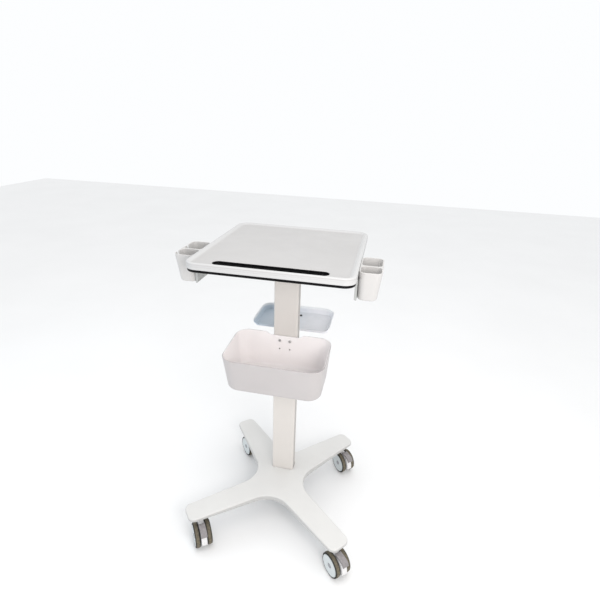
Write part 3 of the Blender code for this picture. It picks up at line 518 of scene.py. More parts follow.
def deck_moulding(name, deck_z):
    """The tray's moulding: a leather-grained deck inside a smoother rim; the deck is greyer than
    the rim, partly its own tone and partly painted shade.
    """
    # The deck's greyer tone is partly the moulding's own and partly painted shade on the sunken
    # deck.
    rim = (0.55, 0.55, 0.55)
    deck = (0.49, 0.482, 0.478)
    finish = Finish(name, 0.40)
    height = finish.axis("Z")
    inside = finish.remap(height, deck_z + 0.0002, deck_z + 0.0022, 1.0, 0.0)
    above = finish.remap(height, deck_z - 0.0012, deck_z - 0.0006, 0.0, 1.0)
    on_deck = finish.math("MULTIPLY", inside, above)
    mottle = finish.patches(5.0, 3.0, 0.3, 0.7)
    deck_tone = finish.mix(mottle, scaled(deck, 0.975), scaled(deck, 1.02))
    scuffs = finish.patches(7.0, 6.0, 0.66, 0.72, 0.0, 0.22, (1.0, 14.0, 1.0))
    deck_tone = finish.mix(scuffs, deck_tone, scaled(deck, 1.10))
    finish.color(finish.mix(on_deck, rim, deck_tone))
    grain = finish.cells(900.0)
    finish.roughness(finish.patches(14.0, 5.0, 0.35, 0.7, 0.36, 0.50))
    finish.bump(finish.math("MULTIPLY", grain, on_deck), 0.00012)
    finish.bump(finish.noise(1500.0, 2.0), 0.00003)
    return finish.material


def rear_moulding(name):
    """Satin moulding with painted shade, bluish and darker towards its left side, and painted
    light, whiter towards the rim.
    """
    low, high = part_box("rear_tray")
    finish = Finish(name, 0.40)
    # Painted shade: bluish and darker towards the left side, over the whole moulding.
    across = finish.remap(finish.axis("X"), low.x * 0.8, high.x * 0.4, 0.0, 1.0)
    painted_shade_tone = finish.mix(across, (0.52, 0.61, 0.70), (0.84, 0.85, 0.89))
    # Painted light: whiter towards the rim.
    rim_painted_light = finish.remap(finish.axis("Z"), high.z - 0.010, high.z - 0.003, 0.0, 1.0)
    tone = finish.mix(rim_painted_light, painted_shade_tone, (0.90, 0.92, 0.94))
    mottle = finish.patches(30.0, 4.0, 0.4, 0.7, 0.0, 0.12)
    finish.color(finish.mix(mottle, tone, (0.45, 0.50, 0.52)))
    finish.roughness(finish.patches(18.0, 5.0, 0.35, 0.7, 0.34, 0.48))
    finish.bump(finish.noise(1400.0, 2.0), 0.00004)
    return finish.material


def powder_coat(name, color, roughness=0.38):
    """Powder coat on metal: orange-peel ripple and a little colour drift."""
    finish = Finish(name, roughness)
    drift = finish.patches(6.0, 3.0, 0.35, 0.65)
    finish.color(finish.mix(drift, scaled(color, 0.98), scaled(color, 1.01)))
    finish.roughness(finish.patches(40.0, 4.0, 0.3, 0.7, roughness - 0.05, roughness + 0.07))
    finish.bump(finish.noise(650.0, 2.0), 0.00006)
    finish.bump(finish.noise(120.0, 1.0), 0.00008, 0.6)
    return finish.material


def black_plastic(name, roughness=0.42):
    """Black plastic or rubber with a low sheen and a trace of dust."""
    finish = Finish(name, roughness, specular=0.12)
    patchy_mask = finish.patches(90.0, 5.0, 0.45, 0.8)
    finish.color(finish.mix(patchy_mask, (0.0015, 0.0015, 0.0018), (0.006, 0.006, 0.0065)))
    finish.roughness(finish.patches(25.0, 4.0, 0.35, 0.7, roughness - 0.08, roughness + 0.12))
    finish.bump(finish.noise(1100.0, 2.0), 0.00005)
    return finish.material


def zinc_steel(name, color=(0.62, 0.62, 0.62), roughness=0.34):
    """Plated steel: fine turning marks and cloudy patches."""
    finish = Finish(name, roughness, metallic=1.0)
    cloud = finish.patches(220.0, 5.0, 0.3, 0.7)
    finish.color(finish.mix(cloud, scaled(color, 0.82), scaled(color, 1.05)))
    finish.roughness(finish.patches(400.0, 4.0, 0.3, 0.7, roughness - 0.08, roughness + 0.14))
    finish.bump(finish.noise(1800.0, 2.0, (1.0, 1.0, 6.0)), 0.00003)
    return finish.material


def tyre_rubber(name):
    """Grey-brown tyre rubber: a dusty crown between darker shoulders, with fine wear marks."""
    finish = Finish(name, 0.70, specular=0.35)
    middle = (WHEEL_INNER + WHEEL_OUTER) / 2
    across = finish.math("ABSOLUTE", finish.axis("Y"), 0.0)
    off_center = finish.math("ABSOLUTE", finish.math("SUBTRACT", across, middle), 0.0)
    crown = finish.remap(off_center, 0.0035, 0.0068, 1.0, 0.0)
    worn = finish.patches(160.0, 6.0, 0.35, 0.65, 0.45, 1.0)
    dusty = finish.math("MULTIPLY", crown, worn)
    finish.color(finish.mix(dusty, (0.022, 0.022, 0.021), (0.190, 0.163, 0.112)))
    finish.roughness(finish.remap(worn, 0.45, 1.0, 0.62, 0.82))
    finish.bump(finish.noise(700.0, 4.0), 0.00015)
    finish.bump(finish.cells(260.0), 0.00012, 0.5)
    return finish.material


def pedal_nylon(name):
    """Grey glass-filled nylon with a pitted grain, rubbed lighter where shoes press it."""
    finish = Finish(name, 0.55)
    fibres = finish.patches(300.0, 6.0, 0.35, 0.65)
    tone = finish.mix(fibres, (0.215, 0.200, 0.205), (0.300, 0.280, 0.285))
    rubbed = finish.math("MULTIPLY", finish.remap(finish.axis("Z"), 0.0035, 0.0060, 0.0, 0.7),
                         finish.patches(110.0, 3.0, 0.4, 0.7, 0.3, 1.0))
    finish.color(finish.mix(rubbed, tone, (0.42, 0.395, 0.40)))
    finish.roughness(finish.remap(fibres, 0.0, 1.0, 0.48, 0.66))
    finish.bump(finish.cells(900.0), 0.00020)
    return finish.material


# ---- tray ----

def build_tray(materials):
    """The white moulding, the slot's black lining and strip, and the black bottom shell."""
    low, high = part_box("tray_top")
    deck_z = next(m["pos_m"][2] for m in frame["record"]["mounts"] if m["name"] == "scanner_deck")
    plan = Footprint((low.x, high.x), (low.y, high.y), TRAY_FRONT_RADIUS, TRAY_BACK_RADIUS, 20)
    rim_height = high.z - deck_z
    skirt = high.z - TRAY_SIDE_HEIGHT
    boss_bottom = low.z
    part_line = skirt + PART_LINE
    under_deck = deck_z - DECK_SKIN
    # (inset, height): the inner side, the lower edge, the side with its part line, the rim
    section = [(TRAY_WALL + 0.0015, under_deck), (TRAY_WALL + 0.0005, under_deck),
               (TRAY_WALL, under_deck - 0.0005), (TRAY_WALL, skirt), (0.0010, skirt),
               (0.0003, skirt + 0.0003), (0.0, skirt + 0.0010), (0.0, part_line - 0.0004),
               (0.0005, part_line - 0.0001), (0.0005, part_line + 0.0002),
               (0.0, part_line + 0.0005)]
    section += [(inwards, high.z - 0.0003 - down) for inwards, down in quarter(0.0030, 6)]
    section += [(RIM_CREST * 0.75, high.z - 0.0001), (RIM_CREST, high.z)]
    for i in range(1, 13):
        t = i / 12
        section.append((RIM_CREST + RIM_FALL * t, high.z - rim_height * smoothstep(t)))
    section.append((RIM_CREST + RIM_FALL + 0.0010, deck_z))
    rings = []
    for inset, z in section:
        front = min(inset, 0.0015 + 0.48 * inset) if inset > TRAY_WALL or z > part_line else inset
        rings.append(ring(plan.outline(inset, front), z))
    tray = make_object("tray_moulding", loft(rings))
    insert_low, insert_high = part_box("tray_slot_insert")
    flange = INSERT_FLANGE - GAP
    slot = Footprint((insert_low.x + flange, insert_high.x - flange),
                     (insert_low.y + flange, insert_high.y - flange),
                     SLOT_RADIUS, SLOT_RADIUS, 16)
    lip = [(0.0, under_deck - THROUGH), (0.0, deck_z - 0.0012), (-0.0003, deck_z - 0.0004),
           (-0.0010, deck_z), (-0.0010, deck_z + THROUGH)]
    cut(tray, loft([ring(slot.outline(inset), z) for inset, z in lip]))
    screws = [node_center(f"tray_screw_{number}")[:2] for number in SCREW_NUMBERS]
    for x, y in screws:
        join(tray, upright(x, y, BOSS_RADIUS, boss_bottom, under_deck + 0.001))
        cut(tray, upright(x, y, SCREW_HOLE, boss_bottom - THROUGH, under_deck - 0.003))
    shade(tray, 60.0)
    finish_piece(tray, "root", deck_moulding("tray_white", deck_z), "tray_top", "tray_top")

    bottom = insert_low.z
    floor = bottom + 0.0037
    rim = insert_high.z
    flange_top = under_deck - GAP
    flange_bottom = flange_top - 0.0037
    section = [(GAP, bottom), (GAP, flange_bottom), (GAP - INSERT_FLANGE, flange_bottom),
               (GAP - INSERT_FLANGE, flange_top), (GAP, flange_top), (GAP, rim - 0.0004),
               (GAP + 0.0004, rim), (INSERT_WALL, rim), (INSERT_WALL + 0.0004, rim - 0.0004),
               (INSERT_WALL + 0.0008, floor + 0.001), (INSERT_WALL + 0.0018, floor)]
    insert = make_object("slot_lining", loft([ring(slot.outline(i), z) for i, z in section]))
    shade(insert)
    finish_piece(insert, "root", materials["black_rubber"], "tray_slot_insert", "tray_slot_insert")

    strip_low, strip_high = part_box("tray_slot_divider")
    half = (strip_high.y - strip_low.y) / 2
    middle = (strip_high.y + strip_low.y) / 2
    top = strip_high.z
    strip = [(middle - half, strip_low.z), (middle + half, strip_low.z),
             (middle + half * 0.80, top - 0.0006), (middle + half * 0.45, top),
             (middle - half * 0.45, top), (middle - half * 0.80, top - 0.0006)]
    divider = make_object("slot_strip", prism(strip, strip_low.x, strip_high.x, "X"))
    shade(divider, 60.0)
    finish_piece(divider, "root", materials["black_rubber"], "tray_slot_insert",
                 "tray_slot_divider")

    low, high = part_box("tray_bottom_shell")
    plan = Footprint((low.x, high.x), (low.y, high.y), TRAY_FRONT_RADIUS - SHELL_INSET,
                     TRAY_BACK_RADIUS - SHELL_INSET, 20)
    wall = TRAY_WALL - SHELL_INSET
    floor = low.z + SHELL_FLOOR
    section = [(0.0030, low.z), (0.0018, low.z), (0.0008, low.z + 0.0003),
               (0.0002, low.z + 0.0010), (0.0, low.z + 0.0018), (0.0, high.z - 0.0005),
               (0.0005, high.z), (wall - 0.0005, high.z), (wall, high.z - 0.0005), (wall, floor),
               (wall + 0.001, floor)]
    shell = make_object("bottom_band", loft([ring(plan.outline(i), z) for i, z in section]))
    for x, y in screws:
        cut(shell, upright(x, y, SCREW_HOLE, low.z - THROUGH, floor + THROUGH))
    shade(shell)
    finish_piece(shell, "root", materials["black"], "tray_bottom_shell", "tray_bottom_shell")


# ---- column and base ----

def column_outline(low, high, wall):
    """The column's section; the grooves only show on its outside, where wall is 0."""
    x = high.x - wall
    front = low.y + wall
    back = high.y - wall
    radius = COLUMN_RADIUS - wall
    middle = (low.y + high.y) / 2
    depth = GROOVE_DEPTH if wall < 0.001 else 0.0
    half = GROOVE_HALF_WIDTH
    side = []
    for offset in GROOVE_OFFSETS:
        y = middle + offset
        side += [(x, y - half), (x - depth * 0.25, y - half * 0.80), (x - depth, y - half * 0.55),
                 (x - depth, y + half * 0.55), (x - depth * 0.25, y + half * 0.80), (x, y + half)]
    points = arc((-x + radius, front + radius), radius, 180, 270, 8)
    points += arc((x - radius, front + radius), radius, 270, 360, 8)
    points += side
    points += arc((x - radius, back - radius), radius, 0, 90, 8)
    points += arc((-x + radius, back - radius), radius, 90, 180, 8)
    points += [(-u, v) for u, v in reversed(side)]
    return points


def build_column(materials):
    """The extrusion, with painted shade on its sides where the grooves run."""
    low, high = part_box("column")
    outside = column_outline(low, high, 0.0)
    eased = column_outline(low, high, 0.0004)
    inside = column_outline(low, high, COLUMN_WALL)
    rings = [ring(eased, low.z), ring(outside, low.z + 0.0004), ring(outside, high.z - 0.0004),
             ring(eased, high.z), ring(inside, high.z), ring(inside, low.z)]
    column = make_object("column_extrusion", loft(rings, closed_loop=True))
    z = node_center("basket_screw_right")[2]
    for side in (-1, 1):
        cut(column, lying(side * BASKET_SCREW_X, z, SCREW_HOLE, low.y - THROUGH,
                          low.y + COLUMN_WALL + THROUGH))
    shade(column, 40.0)
    finish_piece(column, "root", materials["column_white"], "column", "column")
    # Painted shade: the side faces across and in the grooves take a darker copy of the paint.
    column.data.materials.append(materials["column_side_painted_shade"])
    middle = (low.y + high.y) / 2
    for face in column.data.polygons:
        on_side = abs(face.normal.x) > 0.5 and abs(face.center.x) > high.x - COLUMN_WALL / 2
        if on_side and abs(face.center.y - middle) < GROOVE_OFFSETS[1] + GROOVE_HALF_WIDTH:
            face.material_index = 1


def arm_tip(side, stem, end):
    """The two corners of an arm's end, counter-clockwise."""
    angle = math.radians(ARM_ANGLES[end])
    along = Vector((math.cos(angle), math.sin(angle)))
    across = Vector((-along.y, along.x)) * ARM_HALF_WIDTHS[end]
    middle = Vector(stem) + along * ARM_REACHES[end]
    corners = [middle - across, middle + across]
    if side < 0:
        corners = [Vector((-c.x, c.y)) for c in reversed(corners)]
    return [(c.x, c.y, TIP_RADIUS, 12) for c in corners]


def base_outline(inset):
    """The four-armed cover from above: webs between the arms, and their rounded ends."""
    stems = {end: swivels[f"{end}_right"][:2] for end in ("front", "back")}
    side_x, side_y, side_radius = SIDE_WEB
    corners = [(*FRONT_WEB, 16)]
    corners += arm_tip(1, stems["front"], "front")
    corners += [(side_x, side_y, side_radius, 16)]
    corners += arm_tip(1, stems["back"], "back")
    corners += [(*BACK_WEB, 16)]
    corners += arm_tip(-1, stems["back"], "back")
    corners += [(-side_x, side_y, side_radius, 16)]
    corners += arm_tip(-1, stems["front"], "front")
    return rounded_polygon(corners, inset)


def build_base(materials):
    """The cover, hollow from below, with an opening round the column."""
    low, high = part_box("base_cover")
    wall = COVER_WALL
    column_low, column_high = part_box("column")
    hub_y = (column_low.y + column_high.y) / 2
    start, end = COVER_RISE

    def lower_edge(lift):
        """The lower edge's height rises along the arms, away from the hub."""
        return lambda x, y: low.z + lift + COVER_EDGE_LIFT * smoothstep(
            (math.hypot(x, y - hub_y) - start) / (end - start))

    section = [(wall + 0.0055, high.z - wall), (wall + 0.004, high.z - wall),
               (wall + 0.001, high.z - wall - 0.001), (wall, high.z - wall - 0.004),
               (wall, lower_edge(0.0)), (0.0006, lower_edge(0.0)), (0.0, lower_edge(0.0006))]
    section += [(inwards, high.z - down) for inwards, down in quarter(COVER_EDGE_RADIUS, 8)]
    section += [(COVER_EDGE_RADIUS + 0.0015, high.z)]
    cover = make_object("base_moulding", loft([ring(base_outline(i), z) for i, z in section]))
    gap = 2 * GAP
    opening = Footprint((column_low.x - gap, column_high.x + gap),
                        (column_low.y - gap, column_high.y + gap),
                        COLUMN_RADIUS + gap, COLUMN_RADIUS + gap, 8)
    lip = [(0.0, high.z - 0.006), (0.0, high.z - 0.0008), (-0.0008, high.z),
           (-0.0008, high.z + THROUGH)]
    cut(cover, loft([ring(opening.outline(i), z) for i, z in lip]))
    shade(cover, 60.0)
    finish_piece(cover, "root", materials["base_white"], "base_cover", "base_cover")


# ---- basket, rear tray, probe holders ----

def socket_screw(name, material, slot_name, node, outwards):
    """A socket-head screw with a rounded head, a hexagonal socket and its shank."""
    low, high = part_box(node)
    length = max(high - low)
    radius = min(high - low) / 2
    head = SCREW_HEAD
    hexagon = arc((0.0, 0.0), radius * 0.48, 0.0, 360.0, 6)[:-1]
    hexagon = [tuple(Vector(a).lerp(Vector(b), t))
               for a, b in zip(hexagon, hexagon[1:] + hexagon[:1])
               for t in (0.0, 0.25, 0.5, 0.75)]
    circle = arc((0.0, 0.0), 1.0, 0.0, 360.0, 24)[:-1]
    profile = [(0.0025, -length + 0.0004), (0.0025, -head), (radius, -head), (radius, -head * 0.35),
               (radius * 0.95, -head * 0.14), (radius * 0.86, -0.0001), (radius * 0.62, 0.0)]
    rings = [ring([(x * r, y * r) for x, y in circle], z) for r, z in profile]
    rings += [ring(hexagon, 0.0), ring(hexagon, -head * 0.6)]
    bm = loft(rings)
    direction = Vector(outwards)
    top = Vector(node_center(node)) + direction * (length / 2)
    matrix = Matrix.Translation(top) @ direction.to_track_quat("Z", "Y").to_matrix().to_4x4()
    screw = make_object(name, moved(bm, matrix))
    shade(screw, 35.0)
    finish_piece(screw, "root", material, slot_name, node)


def build_basket(materials):
    """The bin with its tapering walls and rounded rim, its two screws and two spare holes."""
    low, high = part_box("basket")

    def rim_height(x, y):
        """The rim climbs from the front to the back wall, and dips in front of the column."""
        z = high.z - BASKET_FRONT_DROP * (high.y - y) / (high.y - low.y)
        dip = 1.0 - smoothstep((abs(x) - BASKET_DIP[0]) / (BASKET_DIP[1] - BASKET_DIP[0]))
        return z - BASKET_DIP_DROP * dip * smoothstep((y - high.y + 0.020) / 0.010)

    def plan(t):
        """The basket's footprint at t of its height."""
        draft = BASKET_DRAFT * (1.0 - t)
        corner = high.x - draft - BASKET_BACK_RADIUS
        back_points = spread(corner, -corner, 40)
        front = low.y + BASKET_FRONT_DRAFT * (1.0 - t)
        return Footprint((low.x + draft, high.x - draft), (front, high.y), BASKET_FRONT_RADIUS,
                         BASKET_BACK_RADIUS, 14, back_points)

    wall = BASKET_WALL
    edge = 0.009
    rings = [ring(plan(0.0).outline(edge + 0.002), low.z)]
    for inwards, down in reversed(quarter(edge, 7)):
        rings.append(ring(plan(0.0).outline(inwards), low.z + down))
    rings += rolled_rim(plan(1.0), wall, rim_height)
    for inwards, down in quarter(edge, 7):
        rings.append(ring(plan(0.0).outline(wall + inwards), low.z + wall + down))
    rings.append(ring(plan(0.0).outline(wall + edge + 0.002), low.z + wall))
    basket = make_object("basket_bin", loft(rings))
    screw_z = node_center("basket_screw_right")[2]
    for side in (-1, 1):
        for z in (screw_z, screw_z - BASKET_HOLE_DROP):
            cut(basket, lying(side * BASKET_SCREW_X, z, SCREW_HOLE, high.y - wall - THROUGH,
                              high.y + THROUGH))
    shade(basket, 60.0)
    # One white plastic in two copies: a darker one outside as painted shade, a far lighter one on
    # the inner faces and floor as painted light.
    finish_piece(basket, "root", materials["basket_painted_shade"], "basket", "basket")
    basket.data.materials.append(materials["basket_inner_painted_light"])
    center = (low + high) / 2
    for face in basket.data.polygons:
        outwards = face.center - center
        outwards.z = 0.0
        outwards.normalize()
        floor_face = face.normal.z > 0.9 and face.center.z < low.z + 2 * BASKET_WALL
        if floor_face or face.normal.dot(outwards) < -0.25:
            face.material_index = 1
    for label in ("left", "right"):
        socket_screw(f"basket_bolt_{label}", materials["steel"], "steel_screw",
                     f"basket_screw_{label}", (0.0, -1.0, 0.0))


def build_rear_tray(materials):
    """The shallow tray, lower at its front lip, with its two screws."""
    low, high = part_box("rear_tray")

    def rim_height(_, y):
        sides = smoothstep((y - low.y) / REAR_FRONT_RADIUS)
        back = smoothstep((y - high.y + REAR_BACK_RADIUS) / REAR_BACK_RADIUS)
        climb = (REAR_LIP_DROP - REAR_SIDE_DROP) * sides + REAR_SIDE_DROP * back
        return high.z - REAR_LIP_DROP + climb

    plan = Footprint((low.x, high.x), (low.y, high.y), REAR_FRONT_RADIUS, REAR_BACK_RADIUS, 14)
    wall = REAR_WALL
    flare = REAR_FLARE
    floor = low.z + wall
    rings = [ring(plan.outline(flare + 0.0050), low.z)]
    for inwards, down in reversed(quarter(0.0040, 5)):
        rings.append(ring(plan.outline(flare * 0.9 + inwards), low.z + down))
    rings += rolled_rim(plan, wall, rim_height)
    for inwards, down in quarter(0.0030, 5):
        rings.append(ring(plan.outline(flare * 0.9 + wall + inwards), floor + down))
    rings.append(ring(plan.outline(flare + wall + 0.0040), floor))
    tray = make_object("rear_tray_moulding", loft(rings))
    for label in ("left", "right"):
        x, y, _ = node_center(f"rear_tray_screw_{label}")
        cut(tray, upright(x, y, SCREW_HOLE, low.z - THROUGH, floor + THROUGH))
        socket_screw(f"rear_tray_bolt_{label}", materials["black_steel"], "black_screw",
                     f"rear_tray_screw_{label}", (0.0, 0.0, 1.0))
    shade(tray, 60.0)
    finish_piece(tray, "root", materials["rear_white"], "rear_tray", "rear_tray")


def side_range(side, inner, outer):
    """The X range between two distances from the middle, on the left (-1) or the right (1)."""
    return tuple(sorted((side * inner, side * outer)))


def build_probe_holder(side, label, material):
    """Two cups in one moulding, each slotted for a cable on its outer wall."""
    low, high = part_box(f"probe_holder_{label}")
    inner = min(abs(low.x), abs(high.x))
    outer = max(abs(low.x), abs(high.x))
    taper = HOLDER_TAPER
    wall = HOLDER_WALL
    top = Footprint(side_range(side, inner, outer), (low.y, high.y), HOLDER_RADIUS,
                    HOLDER_RADIUS, 12)
    base = Footprint(side_range(side, inner, outer - taper), (low.y + taper, high.y - taper),
                     HOLDER_RADIUS, HOLDER_RADIUS, 12)
    edge = 0.006
    rings = []
    for inwards, down in reversed(quarter(edge, 5)):
        rings.append(ring(base.outline(inwards), low.z + down))
    rings += [ring(top.outline(), high.z)]
    holder = make_object(f"probe_cups_{label}", loft(rings))
    floor = low.z + HOLDER_FLOOR
    cups = ((low.y + wall, low.y + CUP_DIVIDER[0], taper, 0.0),
            (low.y + CUP_DIVIDER[1], high.y - wall, 0.0, taper))
    for front, back, front_taper, back_taper in cups:
        mouth = Footprint(side_range(side, inner + wall, outer - wall), (front, back),
                          CUP_RADIUS, CUP_RADIUS, 10)
        foot = Footprint(side_range(side, inner + wall, outer - wall - taper),
                         (front + front_taper, back - back_taper), CUP_RADIUS, CUP_RADIUS, 10)
        cavity = [ring(foot.outline(inwards), floor + down)
                  for inwards, down in reversed(quarter(0.004, 3))]
        cavity += [ring(mouth.outline(), high.z), ring(mouth.outline(), high.z + THROUGH)]
        cut(holder, loft(cavity))
    for offset in CABLE_SLOTS:
        y = low.y + offset
        half = CABLE_SLOT_HALF_WIDTH
        slot_floor = high.z - CABLE_SLOT_DEPTH + half
        outline = [(y + half + 0.0015, high.z + THROUGH), (y - half - 0.0015, high.z + THROUGH),
                   (y - half, high.z - 0.004)]
        outline += arc((y, slot_floor), half, 180, 360, 8)
        outline += [(y + half, high.z - 0.004)]
        start, end = side_range(side, outer - 2 * wall - taper, outer + THROUGH)
        cut(holder, prism(outline, start, end, "X"))
    soften(holder, 0.0009, 3)
    apply_modifiers(holder)
    shade(holder, 50.0)
    finish_piece(holder, "root", material, "probe_holder", f"probe_holder_{label}")


# ---- casters ----

def caster_meshes():
    """The pieces of one caster, along +X from a swivel axis at the origin, or about their hub."""
    axle = (TRAIL, WHEEL_RADIUS)
    plate = [(0.0090, 0.0735), (0.0090, NECK_BOTTOM + 0.002), (-0.0090, NECK_BOTTOM + 0.002),
             (-0.0105, 0.0680), (-0.0100, 0.0590), (-0.0060, 0.0510), (0.0, 0.0440)]
    plate += arc(axle, 0.0180, 185, 285, 10)
    plate += [(0.0450, 0.0236), (0.0600, 0.0290)]
    plate += arc(axle, BODY_FRONT_RADIUS, -8, 52, 16)
    body = make_object("caster_body_form", prism(plate, -BODY_HALF_WIDTH, BODY_HALF_WIDTH, "Y"))
    neck = [(NECK_RADIUS - 0.0015, NECK_BOTTOM), (NECK_RADIUS, NECK_BOTTOM + 0.0015),
            (NECK_RADIUS, NECK_TOP - 0.0010), (NECK_RADIUS - 0.0010, NECK_TOP)]
    join(body, turned(neck, 40))
    pivot_x, pivot_z = PEDAL_PIVOT
    lug = [(pivot_x - LUG_RADIUS, 0.070), (pivot_x + LUG_RADIUS, 0.070)]
    lug += arc(PEDAL_PIVOT, LUG_RADIUS, 0, 180, 12)
    join(body, prism(lug, -0.003, 0.003, "Y"))
    for x, z, radius in ((pivot_x, pivot_z, PIVOT_BORE), (TRAIL, WHEEL_RADIUS, AXLE_BORE)):
        cut(body, lying(x, z, radius, -0.01, 0.01))
    cut(body, upright(0.0, 0.0, STEM_BORE, STEM_BORE_BOTTOM, NECK_TOP + THROUGH))
    soften(body, 0.0008, 2)

    section = [(-0.0070, 0.0010), (-0.0058, -0.0022), (-0.0040, -0.0038), (-0.0018, -0.0046),
               (0.0018, -0.0046), (0.0045, -0.0036), (0.0070, -0.0018), (0.0100, -0.0006),
               (0.0160, -0.0003), (0.0220, -0.0006), (0.0265, -0.0018), (0.0300, -0.0038),
               (0.0325, -0.0066), (0.0342, -0.0096), (0.0355, -0.0101), (0.0368, -0.0098),
               (0.0373, -0.0080), (0.0370, -0.0052), (0.0358, -0.0020), (0.0338, 0.0008),
               (0.0308, 0.0030), (0.0270, 0.0044), (0.0200, 0.0052), (0.0100, 0.0056),
               (0.0, 0.0058), (-0.0045, 0.0056), (-0.0064, 0.0040)]
    pedal = make_object("pedal_form", prism(section, -PEDAL_HALF_WIDTH, PEDAL_HALF_WIDTH, "Y"))
    for i in range(RIB_COUNT):
        x = -0.0010 + i * RIB_PITCH
        height = 0.0056 - 0.0017 * smoothstep((x - 0.010) / 0.022)
        bar = [(x - 0.0009, height - 0.0012), (x + 0.0009, height - 0.0012),
               (x + 0.0006, height + 0.0006), (x - 0.0006, height + 0.0006)]
        join(pedal, prism(bar, -0.0072, 0.0072, "Y"))
    fork = [(-0.0080, -0.0060), (0.0070, -0.0060), (0.0070, 0.0045), (-0.0080, 0.0045)]
    cut(pedal, prism(fork, -0.0033, 0.0033, "Y"))
    join(pedal, lying(0.0, 0.0, 0.0020, -0.0043, 0.0043, 16))
    soften(pedal, 0.0004, 2)

    cap = [(0.0040, -0.0100), (0.0040, 0.0252), (0.0075, 0.0252), (0.0075, 0.0259),
           (0.0070, 0.0265), (0.0060, 0.0268), (0.0032, 0.0268), (0.0028, 0.0262), (0.0010, 0.0262)]
    mirrored = [(radius, -height) for radius, height in reversed(cap[1:])]
    axle_form = make_object("axle_form", along_y(turned(mirrored + cap[1:], 32)))

    forms = {"caster_body": body, "brake_pedal": pedal, "caster_axle": axle_form}
    shoulder = SHOULDER_RADIUS
    bend = [(WHEEL_RADIUS - CROWN - shoulder + shoulder * math.sin(a),
             shoulder * (1 - math.cos(a)))
            for a in (math.pi / 2 * i / 6 for i in range(1, 6))]
    for side, label in ((1, "left"), (-1, "right")):
        inner, outer = WHEEL_INNER, WHEEL_OUTER
        middle = (inner + outer) / 2
        profile = [(RIM_RADIUS + 0.0003, inner + 0.0002), (WHEEL_RADIUS - shoulder, inner)]
        profile += [(r, inner + step) for r, step in bend]
        for i in range(9):
            t = -1 + i / 4
            profile.append((WHEEL_RADIUS - CROWN * t * t, middle + t * (outer - middle - shoulder)))
        profile += [(r, outer - step) for r, step in reversed(bend)]
        profile += [(WHEEL_RADIUS - shoulder, outer), (RIM_RADIUS + 0.0009, outer),
                    (RIM_RADIUS + 0.0003, outer - 0.0006)]
        disc = [(0.0043, inner + 0.001), (0.0100, inner + 0.001),
                (RIM_RADIUS - 0.003, inner + 0.0002),
                (RIM_RADIUS, inner + 0.0006), (RIM_RADIUS, outer - 0.0006),
                (RIM_RADIUS - 0.0006, outer), (RIM_RADIUS - 0.0028, outer),
                (RIM_RADIUS - 0.0034, outer - 0.0005), (RIM_RADIUS - 0.0042, outer - 0.0006),
                (RIM_RADIUS - 0.0048, outer), (RIM_RADIUS - 0.0070, outer + 0.0001),
                (RIM_RADIUS - 0.0085, outer - 0.0004), (RIM_RADIUS - 0.0100, outer - 0.0014),
                (0.0130, outer - 0.0016), (0.0115, outer - 0.0012), (0.0105, outer - 0.0008),
                (0.0090, outer - 0.0008), (0.0082, outer - 0.0016), (0.0043, outer - 0.0016)]
        tyre_bm = turned([(r, side * w) for r, w in profile], 72, closed_loop=True)
        disc_bm = turned([(r, side * w) for r, w in disc], 72, closed_loop=True)
        forms[f"tyre_{label}"] = make_object(f"tyre_form_{label}", along_y(tyre_bm))
        forms[f"wheel_disc_{label}"] = make_object(f"disc_form_{label}", along_y(disc_bm))
    for form in forms.values():
        if form.modifiers:
            apply_modifiers(form)
        shade(form, 45.0)
        apply_modifiers(form)
    return forms


def build_casters(materials):
    """One caster's pieces, placed at each corner and turned to its wheels' axis."""
    forms = caster_meshes()
    hub = Vector((TRAIL, 0.0, WHEEL_RADIUS))
    pivot = Vector((PEDAL_PIVOT[0], 0.0, PEDAL_PIVOT[1]))
    looks = {
        "caster_body": ("caster", Vector(), materials["caster_white"], "caster_body"),
        "caster_axle": ("caster", hub, materials["axle_grey"], "caster_axle"),
        "brake_pedal": ("caster_pedal", pivot, materials["pedal"], "brake_pedal"),
    }
    for label in ("left", "right"):
        wheel = f"caster_wheel_{label}"
        looks[f"tyre_{label}"] = (wheel, hub, materials["tyre"], "tyre")
        looks[f"wheel_disc_{label}"] = (wheel, hub, materials["disc"], "wheel_disc")
    for corner in CORNERS:
        across = Vector(spins[corner])
        along = across.cross(Vector((0.0, 0.0, 1.0)))
        turn = Matrix((along, across, (0.0, 0.0, 1.0))).transposed().to_4x4()
        stem = swivels[corner]
        place = Matrix.Translation((stem[0], stem[1], 0.0)) @ turn
        for piece, (body, offset, material, slot_name) in looks.items():
            obj = add_object(f"{corner}_{piece}_skin", forms[piece].data)
            obj.matrix_world = place @ Matrix.Translation(offset)
            finish_piece(obj, f"{corner}_{body}", material, slot_name, f"{corner}_{piece}")
    for form in forms.values():
        bpy.data.objects.remove(form)


# ---- carried-over CAD nodes ----

def dress_nodes(materials):
    """Gives the CAD nodes that stay their material, and rounds the brackets' edges."""
    looks = {"tray_mounting_plate": "steel", "column_foot": "steel", "base_frame": "frame_grey",
             "rear_tray_bracket": "column_white", "probe_holder_bracket_left": "bracket_grey",
             "probe_holder_bracket_right": "bracket_grey"}
    for number in SCREW_NUMBERS:
        looks[f"tray_screw_{number}"] = "steel"
        looks[f"foot_bolt_{number}"] = "steel"
    for corner in CORNERS:
        looks[f"{corner}_caster_stem"] = "steel"
    for node, look in looks.items():
        obj = frame["nodes"][node]
        obj.data.materials.clear()
        obj.data.materials.append(materials[look])
        if "bracket" in node:
            soften(obj, 0.0006, 2)


# ---- stage ----

